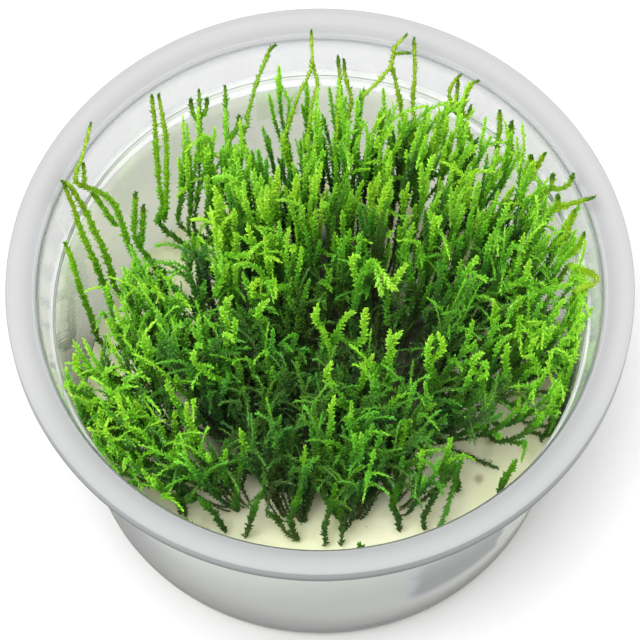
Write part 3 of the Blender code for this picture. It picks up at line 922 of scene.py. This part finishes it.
bushes = [  # shoots with branches, pressed to the wall or standing out of the clump, in the same way
    ((500, 425, 20), (522, 418, 30), (542, 402, 37), (556, 383, 42), (566, 360, 46)),
    ((548, 436, 16), (560, 420, 24), (572, 395, 33), (578, 365, 41), (580, 340, 46)),
    ((556, 428, 18), (568, 405, 27), (577, 378, 35), (582, 350, 42), (584, 325, 47)),
    ((560, 415, 22), (573, 385, 31), (581, 352, 39), (585, 318, 46), (585, 295, 50)),
    ((565, 390, 26), (577, 355, 35), (584, 318, 43), (586, 285, 50)),
    ((565, 360, 30), (578, 325, 39), (585, 290, 47), (586, 262, 53)),
    ((560, 330, 34), (575, 295, 43), (583, 262, 50), (583, 240, 54)),
    ((540, 440, 14), (552, 430, 20), (563, 413, 28), (571, 395, 34)),
    ((495, 440, 18), (520, 436, 27), (538, 424, 34), (552, 402, 40), (560, 382, 44)),
    ((478, 436, 20), (498, 428, 29), (514, 412, 36), (526, 392, 42)),
    ((510, 405, 28), (530, 394, 36), (544, 376, 42), (552, 354, 47)),
    ((455, 436, 20), (472, 428, 29), (486, 412, 36), (494, 394, 42)),
    ((545, 360, 34), (562, 348, 41), (572, 328, 47), (576, 308, 50)),
    ((560, 330, 36), (572, 312, 43), (580, 290, 49), (584, 268, 53)),
    ((560, 300, 38), (574, 280, 45), (582, 258, 50), (585, 240, 54)),
    ((552, 270, 38), (566, 250, 45), (576, 230, 51)),
    ((120, 420, 28), (100, 405, 36), (86, 385, 43), (78, 360, 48)),
    ((130, 440, 26), (110, 430, 33), (92, 412, 40), (80, 390, 46)),
    ((120, 390, 34), (106, 370, 41), (98, 352, 47)),
    ((150, 465, 24), (130, 455, 31), (112, 440, 38), (98, 420, 44)),
    ((170, 485, 22), (150, 478, 29), (132, 464, 36), (118, 446, 42)),
    ((190, 500, 19), (172, 496, 26), (155, 486, 33), (142, 470, 39)),
    ((470, 190, 38), (478, 160, 46), (482, 138, 51), (486, 118, 55)),
    ((440, 180, 38), (444, 150, 46), (446, 124, 52), (448, 104, 56)),
    ((455, 185, 38), (460, 150, 47), (456, 118, 54), (449, 92, 58)),
    ((500, 190, 40), (506, 165, 47), (508, 140, 53), (505, 122, 56)),
    ((515, 215, 40), (524, 190, 48), (530, 165, 54)),
    ((480, 200, 38), (492, 178, 45), (497, 150, 52)),
    ((180, 225, 30), (184, 190, 40), (184, 150, 48), (183, 118, 54)),
    ((195, 230, 30), (199, 190, 40), (199, 150, 48), (198, 110, 55)),
    ((215, 225, 30), (222, 190, 40), (226, 150, 48), (225, 110, 55)),
    ((190, 235, 30), (192, 200, 38), (190, 160, 46), (187, 125, 52)),
    ((208, 230, 30), (210, 190, 40), (211, 150, 48), (207, 105, 55)),
    ((235, 220, 32), (240, 185, 41), (242, 150, 48), (240, 120, 53)),
    ((430, 150, 48), (440, 122, 52), (455, 105, 55), (468, 100, 56)),
    ((420, 160, 46), (430, 128, 51), (446, 108, 55), (462, 96, 57)),
    ((455, 160, 46), (462, 130, 51), (474, 110, 55)),
    ((400, 145, 47), (415, 122, 51), (432, 108, 54), (450, 102, 56)),
    ((375, 150, 46), (388, 125, 51), (405, 112, 53), (425, 106, 55)),
    ((515, 200, 42), (520, 170, 48), (524, 145, 53), (522, 124, 56)),
    ((535, 210, 42), (540, 185, 47), (546, 165, 51)),
    ((520, 240, 40), (540, 215, 46), (556, 196, 51)),
    ((540, 260, 40), (558, 236, 46), (570, 216, 51)),
    ((318, 185, 38), (320, 150, 46), (316, 120, 52), (318, 90, 57)),
    ((345, 185, 38), (346, 150, 46), (342, 110, 53), (338, 80, 57)),
    ((365, 180, 38), (368, 150, 46), (366, 125, 51)),
    ((390, 185, 38), (392, 160, 45), (400, 135, 50)),
    ((415, 190, 38), (418, 160, 46), (424, 135, 51), (430, 112, 55)),
]


def fanned(root, rise):  # outwards as it rises, but hardly forwards in front
    reach = (max(rise, 0.0) / fan["crownRise"]) ** fan["bend"]
    offset = root - fan["centre"]
    atLeft = offset.x < fan["leftOf"] and offset.y > fan["leftBehind"]
    sideways = 1 + (fan["leftSpread"] if atLeft else fan["spread"]) * reach
    corner = fan["cornerSpread"] * min(1.0, abs(offset.x) / fan["cornerWidth"]) ** 2
    depthways = sideways if offset.y > 0 else 1 + (fan["frontSpread"] + corner) * reach
    return fan["centre"] + Vector((offset.x * sideways, offset.y * depthways))


def keptInside(point):  # a point too near the wall is brought in to it
    if point.z > cupTop + 0.5:
        return point
    limit = innerRadius(min(point.z, cup["neckHeight"])) - tuft["wallGap"]
    out = math.hypot(point.x, point.y)
    if out <= limit:
        return point
    return Vector((point.x * limit / out, point.y * limit / out, point.z))


def blend(pair, zone):  # zone is 0 at the back of the clump and 1 in front
    return pair[0] + (pair[1] - pair[0]) * zone


def blendedRange(pairs, zone):
    return [blend(pair, zone) for pair in zip(*pairs)]


def limited(value):  # from 0 to 1
    return min(1.0, max(0.0, value))


def towards(turn, rise=0):  # one step out in that direction
    return Vector((math.cos(turn), math.sin(turn), rise))


def hollowAt(point):  # how much lower the canopy is over this place, and how much darker it is there, up to 1
    depth = 0.0
    shadow = 0.0
    for place, radius, deepest in hollows:
        middle = seenAt(place)
        near = 1 - math.hypot(point.x - middle.x, point.y - middle.y) / radius
        depth = max(depth, deepest * limited(near * dips["steepness"]))
        dark = limited(dips["shadowFrom"] + near * dips["shadowSteepness"])
        shadow = max(shadow, dark * deepest / dips["darkest"])
    return depth, shadow


def curled(points, length, turn, axis):  # bends the last part of the line over
    steps = max(2, round(length / (points[-1] - points[-2]).length))
    start = max(1, len(points) - 1 - steps)
    heading = points[start] - points[start - 1]
    bend = Quaternion(axis, turn / (len(points) - start))
    for index in range(start, len(points)):
        heading = bend @ heading
        points[index] = keptInside(points[index - 1] + heading)


def maybeCurled(points, chance, dice):
    if dice.random() < chance:
        axis = towards(dice.uniform(0, 2 * math.pi))
        turn = math.radians(dice.uniform(*tuft["curlTurn"]))
        curled(points, dice.uniform(*tuft["curlLength"]), turn, axis)


# Inward is how far the foot of the shoot lies from under its top
def growShoot(root, inward, lean, tipHeight, zone, dice):
    rise = tipHeight - rootHeight
    steps = max(tuft["fewestSteps"], round(rise / tuft["step"]))
    slant = Vector((dice.gauss(0, 1), dice.gauss(0, 1), 0)) * blend(tuft["lean"], zone)
    phase = dice.uniform(0, tuft["wholeTurn"])
    points = []
    for index in range(steps + 1):
        part = index / steps
        place = fanned(root, part * rise)
        drift = noise.noise_vector(Vector((root.x, root.y, part * rise * 0.5)) * tuft["lockScale"])
        drift.z = 0
        drift = drift * blend(tuft["lockDrift"], zone) * part
        swing = Vector((math.sin(phase + 5 * part), math.cos(phase * 1.7 + 4 * part), 0))
        sway = swing * tuft["sway"] * part * zone
        point = Vector((place.x, place.y, rootHeight + part * rise))
        point += drift + (slant + lean) * part ** tuft["leanBend"] + sway
        point += inward * (1 - part) ** tuft["footBend"]
        point.y += tuft["backLean"] * zone * part**2
        points.append(keptInside(point))
    return points


def growBranch(points, start, length, turn, angle, lift):
    heading = (points[start] - points[start - 1]).normalized()
    side = heading.cross(towards(turn, 0.1)).normalized()
    heading = Quaternion(side, math.radians(angle)) @ heading
    steps = max(2, round(length / tuft["step"]))
    branch = [points[start].copy()]
    for step in range(steps):
        heading = (heading + up * lift).normalized()
        point = keptInside(branch[-1] + heading * (length / steps))
        point.z = max(point.z, rootHeight + tuft["leastRise"])
        branch.append(point)
    return branch


def addLeafyStrand(growth, points, crown, style):  # young near its tip; lower in the clump it is painted darker, partly for age and partly as painted shade
    last = len(points) - 1
    toTip = [0.0]
    for index in range(last, 0, -1):
        toTip.insert(0, toTip[0] + (points[index] - points[index - 1]).length)
    thick, size, age = [], [], []
    for index, point in enumerate(points):
        high = limited((point.z - rootHeight) / (crown - rootHeight))
        tip = max(0.0, 1 - toTip[index] / ageingAndShade["youngLength"])
        bud = max(0.0, 1 - toTip[index] / ageingAndShade["budLength"])
        full = 0.5 + 0.5 * min(1.0, high / style["bareTo"]) if style["bareTo"] else 1.0
        youngAndLit = ageingAndShade["least"] + ageingAndShade["withHeight"] * high + ageingAndShade["nearTip"] * high * tip
        width = ageingAndShade["tipThick"] if index == last else ageingAndShade["footThick"] - ageingAndShade["taper"] * high
        thick.append(style["stem"] * width)
        size.append(style["leafLength"] * (1 - ageingAndShade["budShrink"] * bud) * full)
        age.append(min(1.0, youngAndLit * style["youth"]))
    growth.addStrand(points, thick, size, age, style["shade"])


def addShoot(growth, points, crown, zone, dice, style):
    last = len(points) - 1
    turn = dice.uniform(0, tuft["wholeTurn"])
    count = dice.randint(*branching["columns"])
    jitter = branching["turnJitter"]
    angles = blendedRange(branching["columnAngle"], zone)
    columns = [(points, style)]
    for number in range(count):
        part = branching["columnFrom"] + branching["columnOver"] * (number + dice.uniform(0.1, 0.9)) / count
        start = min(max(2, round(part * last)), last - 1)
        turn += branching["turn"] + dice.uniform(-jitter, jitter)
        length = (points[last].z - points[start].z) * dice.uniform(*branching["columnLength"])
        if length < branching["shortest"]:
            continue
        angle = dice.uniform(*angles)
        branch = growBranch(points, start, length, turn, angle, dice.uniform(*branching["columnLift"]))
        columns.append((branch, {**style, "youth": style["youth"] * dice.uniform(*branching["columnYouth"])}))
    for column, look in columns:
        maybeCurled(column, blend(tuft["curlShare"], zone), dice)
        addLeafyStrand(growth, column, crown, look)
    for number in range(dice.randint(*branching["twigs"])):
        column, look = dice.choice(columns)
        start = round((len(column) - 1) * dice.uniform(*branching["twigPlace"]))
        if start < 1 or start >= len(column) - 1:
            continue
        turn += branching["turn"] + dice.uniform(-jitter, jitter)
        angle = dice.uniform(*branching["twigAngle"])
        length = dice.uniform(*branching["twigLength"])
        twig = growBranch(column, start, length, turn, angle, dice.uniform(*branching["twigLift"]))
        leafLength = look["leafLength"] * branching["twigLeaf"]
        addLeafyStrand(growth, twig, crown, {**look, "stem": branching["twigStem"], "leafLength": leafLength})


def tuftAxis(root, node, height):  # the middle of a tuft at that height
    place = fanned(root, height - rootHeight)
    part = (height - rootHeight) / fan["crownRise"]
    lean = Vector(leaning.get(node, (0, 0))) * max(0.0, part) ** tuft["leanBend"]
    return Vector((place.x + lean.x, place.y + lean.y, height))


def sharedOut(routes, roots):  # each route goes to the tuft whose middle passes nearest to its base
    drop = traced["footDrop"]
    shares = {node: [] for node in roots}
    for route in routes:
        points = [seenAt(place) for place in route]
        base = points[0]
        nearest = min(roots, key=lambda node: (tuftAxis(roots[node], node, base.z) - base).length)
        if base.z > rootHeight + traced["rootedBelow"]:
            foot = tuftAxis(roots[nearest], nearest, base.z - drop)
            points.insert(0, foot.lerp(base - up * drop, traced["footShare"]))
        shares[nearest].append([keptInside(point) for point in points])
    return shares


def rootOf(node):  # the middle of a solid's root, in plan
    footHeight = 0.3 * millimetre
    vertices = [vertex.co for vertex in frame["nodes"][node].data.vertices]
    lowest = min(point.z for point in vertices)
    foot = [point for point in vertices if point.z < lowest + footHeight]
    middle = sum(foot, Vector()) / len(foot)
    return Vector((middle.x, middle.y)) / millimetre


def smoothed(points, step):  # points about a step apart along a smooth curve through points
    ends = [2 * points[0] - points[1], *points, 2 * points[-1] - points[-2]]
    line = [points[0].copy()]
    for before, low, high, after in zip(ends, ends[1:], ends[2:], ends[3:]):
        parts = max(1, round((high - low).length / step))
        for index in range(1, parts + 1):
            part = index / parts
            square = 2 * before - 5 * low + 4 * high - after
            cube = 3 * (low - high) + after - before
            line.append(0.5 * (2 * low + (high - before) * part + (square * part**2 + cube * part**3)))
    return line


# The shoots of a tuft, in a spiral round its root
def growByRule(growth, node, root, number, crown, zone, dice):
    lean = Vector((*leaning.get(node, (0, 0)), 0))
    shoots = round(blend(tuft["shoots"], zone))
    shoots += tuft["sideShoots"] if abs(root.x) > tuft["sideFrom"] else 0
    shoots = round(shoots * sparse.get(node, 1.0))
    # painted light: the tufts at the back and at the left are painted lighter, those in front darker
    inFront = root.y < tuft["paintedLightFrontOf"] and abs(root.x) < tuft["sideFrom"]
    glow = blend(tuft["glow"], zone) * (tuft["frontPaintedLight"] if inFront else 1)
    glow *= tuft["leftPaintedLight"] if root.x < tuft["paintedLightLeftOf"] else 1
    gathers = root.y < tuft["gatherFrontOf"] or root.x < tuft["gatherLeftOf"]
    jitter = tuft["rootJitter"]
    for index in range(shoots):
        out = tuft["reach"] * math.sqrt((index + 0.5) / shoots)
        foot = root + towards(index * tuft["spiral"] + number).xy * out
        aside = Vector((dice.uniform(-jitter, jitter), dice.uniform(-jitter, jitter)))
        foot += aside + lean.xy * tuft["leanAtFoot"]
        fore = foot.y < tuft["frontEdge"] and dice.random() < tuft["foreShare"]
        edge = tuft["frontMost"] if fore else tuft["frontEdge"] + dice.uniform(0, tuft["edgeJitter"])
        foot.y = max(foot.y, edge)
        tall = index == 0 or dice.random() < blend(tuft["tallShare"], zone)
        fall = dice.uniform(tuft["leastFall"], blend(tuft["tallFall"], zone))
        if not tall:
            fall = dice.uniform(*blendedRange(tuft["lowFall"], zone))
        height = crown - (tuft["leastFall"] if index == 0 else fall)
        tip = fanned(foot, height - rootHeight)
        depth, shadow = hollowAt(tip + lean.xy)
        inward = Vector((*((root - foot) * tuft["gather" if gathers else "backGather"]), 0))
        points = growShoot(foot, inward, lean * dice.uniform(*tuft["leanShare"]), height - depth, zone, dice)
        style = {
            "stem": tuft["stem"],
            "leafLength": blend(tuft["leafLength"], zone) * dice.uniform(*tuft["leafJitter"]),
            "bareTo": tuft["foreBareTo"] if fore else tuft["bareTo"], "shade": dice.randrange(leaf["shades"]),
            "youth": dice.uniform(*tuft["tallYouth" if tall else "lowYouth"]),
        }
        # painted light and shade: the light of its place and the painted shade of a hollow
        style["youth"] *= glow * (1 - tuft["shadow"] * shadow)
        if dice.random() < tuft["oldShare"]:
            style["youth"] = dice.uniform(*tuft["oldYouth"])
        addShoot(growth, points, crown, zone, dice, style)


def growAlongPhoto(growth, bushRoutes, frondRoutes, crown, zone, dice):
    for points in bushRoutes:
        style = {
            "stem": tuft["stem"], "leafLength": blend(tuft["leafLength"], zone), "bareTo": 0,
            "shade": dice.randrange(2, leaf["shades"]), "youth": dice.uniform(*traced["bushYouth"]),
        }
        addShoot(growth, smoothed(points, tuft["step"]), crown + traced["bushCrown"], zone, dice, style)
    for points in frondRoutes:
        style = {**traced["frond"], "shade": dice.randrange(2, leaf["shades"])}
        line = smoothed(points, traced["frondStep"])
        addLeafyStrand(growth, line, crown, style)
        twists = [noise.noise_vector(point * traced["twistScale"]) for point in line]
        twisted = [point + traced["twist"] * twist for point, twist in zip(line, twists)]
        addLeafyStrand(growth, [keptInside(point) for point in twisted[2:]], crown, style)


def makeTufts(tools):
    finish = mossMaterial("leafGreen", "leaf")
    names = sorted(name for name in frame["nodes"] if name.startswith("tuft_"))
    roots = {node: rootOf(node) for node in names}
    frondRoutes = sharedOut(fronds, roots)
    bushRoutes = sharedOut(bushes, roots)
    faces = 0
    for number, node in enumerate(names):
        dice = random.Random(100 + number)
        root = roots[node]
        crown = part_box(node)[1].z / millimetre
        zone = limited((tuft["curlyFrom"] - root.y) / tuft["curlyOver"])
        growth = Growth()
        growByRule(growth, node, root, number, crown, zone, dice)
        growAlongPhoto(growth, bushRoutes[node], frondRoutes[node], crown, zone, dice)
        spacing, spread = blend(tuft["spacing"], zone), blend(tuft["leafSpread"], zone)
        look = {"finish": finish, "slot": "leaf_green", "spacing": spacing, "spread": spread}
        faces += growPiece(node, growth, tools, look, number + 1)
    print("tufts made:", len(names), "with", faces, "triangles")


# Long shoots round the rim, by the places where the photo shows them: (across, down, height over the table).
# The first line of each starts at its solid's root, the others fork from it.
longShoots = {
    "long_shoot_01": [
        (
            (570, 275, 36), (583, 269, 46), (591, 273, 52), (597, 279, 55), (593, 284, 54), (583, 288, 50),
            (575, 293, 46),
        ),
    ],
    "long_shoot_02": [
        ((560, 250, 38), (564, 241, 46), (567, 232, 51), (571, 221, 55), (574.6, 210.4, 60)),
        ((564, 258, 40), (575, 250, 47), (582, 243, 50), (583.8, 233.9, 54)),
    ],
    "long_shoot_03": [
        ((545, 222, 38), (557.8, 207.9, 48), (566, 205.3, 53), (581, 201, 58), (592.4, 197.7, 60)),
        ((556, 210, 47), (557.8, 203, 50), (557.8, 196, 53)),
    ],
    "long_shoot_04": [
        (
            (535, 205, 40), (543.5, 193, 47), (551.6, 189, 50), (560.8, 188.5, 53), (569, 183.9, 56),
            (573, 174.7, 59),
        ),
        ((551, 189, 50), (552, 183, 52), (552.7, 175.7, 55)),
    ],
    "long_shoot_05": [
        ((520, 195, 40), (531, 170, 48), (531, 156.3, 54)),
        ((531, 176, 46), (540, 161.4, 52), (544.5, 154.3, 56)),
    ],
    "long_shoot_06": [
        ((503, 168, 41), (510, 142, 49), (511.5, 123, 56)),
        ((497, 165, 42), (496.7, 147.5, 47), (499.8, 127, 52), (499.8, 111.8, 57)),
    ],
    "long_shoot_07": [
        (
            (467, 168, 38), (472, 157.8, 41), (470, 137, 46), (462, 122, 50), (450, 100, 55), (451.8, 85, 58),
            (460, 75.6, 60),
        ),
        ((462, 122, 50), (463, 108, 53), (466, 96.5, 55), (471, 85.3, 58), (477.3, 81.2, 59)),
        ((461, 119, 51), (468, 115, 52), (471, 106.7, 54)),
        ((457, 112, 52), (457, 95, 55), (458, 82, 58)),
    ],
    "long_shoot_08": [
        (
            (412, 140, 44), (413, 108.8, 50), (413, 93.5, 53), (415, 77, 57), (414.6, 50.6, 61.5),
            (414, 37.9, 63.6),
        ),
    ],
    "long_shoot_09": [
        (
            (401, 140, 42), (400.8, 108.8, 48), (397.8, 91.4, 53), (394.7, 77, 56), (391, 66, 59),
            (393, 58.8, 60), (394.7, 47.6, 62), (404.9, 35.3, 63.6),
        ),
        ((391, 66, 59), (378.4, 81.2, 55), (367, 92.4, 52), (360, 97.6, 50)),
        ((394, 54, 60.5), (401, 53, 60.8), (408, 53, 60.8)),
    ],
    "long_shoot_10": [
        ((337, 140, 44), (337, 115.7, 47), (338, 96.6, 50), (340, 82, 52), (338, 58.3, 56)),
        ((345, 130, 44), (351.5, 101, 49), (348.7, 88.9, 51), (344.8, 73.6, 54), (343.9, 62, 56)),
    ],
    "long_shoot_11": [
        (
            (285, 150, 42), (287.4, 128, 46), (296, 102, 51), (300.8, 90.8, 53), (308.5, 75.5, 55.5),
            (312.3, 61, 57.5), (311.8, 48.7, 59), (311.3, 32.4, 61),
        ),
        (
            (304, 150, 41), (309.4, 125, 47), (311.3, 106, 50), (316, 92.7, 52.5), (318, 84, 54),
            (312.3, 63, 57),
        ),
    ],
    "long_shoot_12": [
        (
            (242.4, 141.5, 42), (246.3, 128, 44.5), (248, 113.8, 47), (253, 95.6, 50), (257.8, 79.3, 53),
            (265.4, 61, 56), (270, 49, 58), (274, 46.3, 58.6),
        ),
    ],
    "long_shoot_13": [
        ((228, 140, 40), (226, 115, 45), (225, 87, 51)),
        ((230, 140, 41), (237, 128, 44), (239, 118, 46)),
    ],
    "long_shoot_14": [
        ((203, 150, 40), (200, 120, 46), (199, 91, 52)),
        ((201, 125, 45), (193, 113, 48), (191, 102, 50)),
        ((200, 118, 46), (206, 110, 48), (207, 101, 50)),
    ],
    "long_shoot_15": [
        (
            (161.5, 226, 24), (162.7, 207, 30), (159, 182.7, 36), (157, 158.5, 42), (155.5, 134, 48),
            (152, 97, 56),
        ),
        ((164, 222, 26), (166.4, 195, 34), (166.4, 146, 45), (164, 125.8, 50), (159, 97, 56)),
    ],
    "long_shoot_16": [
        ((139.7, 247, 30), (134.8, 231, 34), (134.8, 207, 40), (135.8, 193.6, 43.6)),
        ((141, 246, 30), (142.7, 225, 35), (143.5, 207, 39.5)),
    ],
    "long_shoot_17": [
        (
            (139.7, 273.6, 22), (135, 259, 27), (127.6, 243, 32), (122.7, 226, 37), (118, 213, 41),
            (113, 202, 44.5), (102, 193.6, 48), (91, 189, 51), (83, 186, 53), (76, 182, 55.5),
            (76, 173, 57.5), (80.3, 162, 59.5), (86.4, 141.5, 62), (90, 124, 63.6),
        ),
        ((85, 185, 53), (84, 175, 55.5), (83.3, 164.5, 58)),
        ((118, 226, 36), (112, 221, 38), (107, 214, 40.5), (101, 204.5, 43.5), (93, 194, 47.5)),
    ],
    "long_shoot_18": [
        (
            (118, 291.8, 22), (113, 279.7, 26), (108, 261.5, 32), (102, 245.8, 37), (93.6, 228.8, 43),
            (86.4, 213, 48), (79, 199.7, 53), (68, 184, 59), (62.7, 181.5, 60),
        ),
        (
            (112, 305, 19), (104.5, 285.8, 25), (98.5, 271, 30), (92.4, 256.7, 36), (85, 241, 42),
            (79, 225, 47), (74, 209.4, 52), (68, 194.8, 56.5), (64, 184, 59.5),
        ),
    ],
    "long_shoot_19": [
        (
            (105, 345, 18), (97, 336, 20.5), (92, 319.6, 25), (86.6, 305, 29), (80.4, 291, 33),
            (74, 276.8, 37.5), (67.9, 264, 42), (66, 255, 45), (65.8, 244.5, 48.5),
        ),
    ],
}
longStem = {
    "stem": 0.24, "leafLength": 1.2, "sizes": (0.85, 1.1), "spacing": 0.15, "leafSpread": 42, "step": 1.2,
    "thinFrom": 43.0, "thinTo": 53.0, "thin": 0.78, "ages": (0.12, 0.9), "youngAfter": 40.0,
    "knot": 1.2, "knotThick": 1.5, "knotLeaf": 0.7, "tipThick": 1.1, "tipGap": 0.9, "rootDepth": 0.2,
}

# Stray shoots on the bare gel, as points in millimetres from the root on
strayShoots = {
    "stray_shoot_01": ((21.5, -15.5, 13.0), (23.0, -18.5, 21.5), (21.8, -23.5, 21.5), (19.5, -28.5, 14.2)),
    "stray_shoot_02": ((30.5, -20.0, 13.0), (31.0, -19.6, 19.0), (32.5, -19.0, 26.0)),
    "stray_shoot_03": ((7.0, -32.0, 13.0), (7.6, -32.4, 17.0), (6.6, -32.0, 21.0)),
    "stray_shoot_04": ((-17.0, -29.5, 13.0), (-19.2, -30.0, 20.0), (-22.6, -30.4, 29.0)),
    "stray_shoot_05": ((-32.5, -15.5, 13.0), (-36.4, -15.4, 24.0), (-38.4, -12.6, 37.0)),
}


# Leafy, with leaves a little shorter higher up, in some with a dark knot at its tip
def addLongStrand(growth, points, shade, dice, darkTip):
    last = len(points) - 1
    oldest, youngest = longStem["ages"]
    thick, size, age = [], [], []
    for index, point in enumerate(points):
        thin = limited((point.z - longStem["thinFrom"]) / (longStem["thinTo"] - longStem["thinFrom"]))
        scale = 1 - (1 - longStem["thin"]) * thin
        knot = darkTip and (points[last] - point).length < longStem["knot"]
        width = longStem["knotThick"] if knot else 1.0
        youngAndLit = oldest + (youngest - oldest) * (point.z - rootHeight) / longStem["youngAfter"]
        leafScale = max(longStem["knotLeaf"], scale) if knot else scale
        thick.append(longStem["stem"] * (longStem["tipThick"] if index == last else width))
        size.append(longStem["leafLength"] * leafScale * dice.uniform(*longStem["sizes"]))
        age.append(1.0 if knot else min(youngest, youngAndLit))
    growth.addStrand(points, thick, size, age, shade)


def makeLongShoots(tools):
    look = {"slot": "stem_green", "spacing": longStem["spacing"], "spread": longStem["leafSpread"]}
    look["finish"] = mossMaterial("stemGreen", "stem")
    faces = 0
    for seed, (node, lines) in enumerate(longShoots.items(), 500):
        dice = random.Random(seed)
        growth = Growth()
        root = rootOf(node)
        shade = dice.randrange(leaf["shades"])
        for index, line in enumerate(lines):
            places = [keptInside(seenAt(place)) for place in line]
            for place in places:
                place.z = min(place.z, boxTop - longStem["tipGap"])
            if index == 0:
                places.insert(0, Vector((root.x, root.y, rootHeight - longStem["rootDepth"])))
            addLongStrand(growth, smoothed(places, longStem["step"]), shade, dice, True)
        faces += growPiece(node, growth, tools, look, seed)
    for seed, (node, line) in enumerate(strayShoots.items(), 700):
        dice = random.Random(seed)
        growth = Growth()
        points = smoothed([Vector(place) for place in line], longStem["step"])
        addLongStrand(growth, points, dice.randrange(leaf["shades"]), dice, False)
        faces += growPiece(node, growth, tools, look, seed)
    print("long and stray shoots made, with", faces, "triangles")


# Floor and light. Each lamp has its power and its place in metres.
light = {
    "sky": 0.79, "floor": 0.6, "floorSize": 3.0, "floorGap": 0.2, "lampSize": 0.5, "aim": (0, 0, 0.03),
    "lamps": {"lamp": (8.2, (-0.2, -0.14, 0.78)), "fill": (2.0, (0.5, 0.2, 0.42))},
}


def makeFloor():
    size = light["floorSize"]
    mesh = bpy.data.meshes.new("floor")
    corners = [(-size, -size, 0), (size, -size, 0), (size, size, 0), (-size, size, 0)]
    mesh.from_pydata(corners, [], [(0, 1, 2, 3)])
    material, graph = newMaterial("paleFloor")
    shader = graph.surface({"Base Color": (*[light["floor"]] * 3, 1), "Roughness": 0.8})
    floor = addPiece("floor", mesh, finishMaterial(material, graph, shader))
    floor.location.z = -light["floorGap"] * millimetre


def makeLight():
    world = bpy.data.worlds.new("softSky")
    world.use_nodes = True
    sky = world.node_tree.nodes["Background"]
    sky.inputs["Color"].default_value = (1.0, 1.0, 1.0, 1)
    sky.inputs["Strength"].default_value = light["sky"]
    bpy.context.scene.world = world
    for name, (power, place) in light["lamps"].items():
        lamp = bpy.data.objects.new(name, bpy.data.lights.new(name, "AREA"))
        lamp.data.energy = power
        lamp.data.size = light["lampSize"]
        lamp.location = place
        lamp.rotation_euler = (Vector(light["aim"]) - lamp.location).to_track_quat("-Z", "Y").to_euler()
        bpy.context.scene.collection.objects.link(lamp)
    bpy.context.scene.view_settings.view_transform = "Standard"
    print("floor and light made")


makeCamera()
makeCup()
makeBand()
makeGel()
template = makeLeafTemplate()
mossTools = (*makeLeafyShoots(), template)
makeTufts(mossTools)
makeLongShoots(mossTools)
bpy.data.objects.remove(template)
makeFloor()
makeLight()
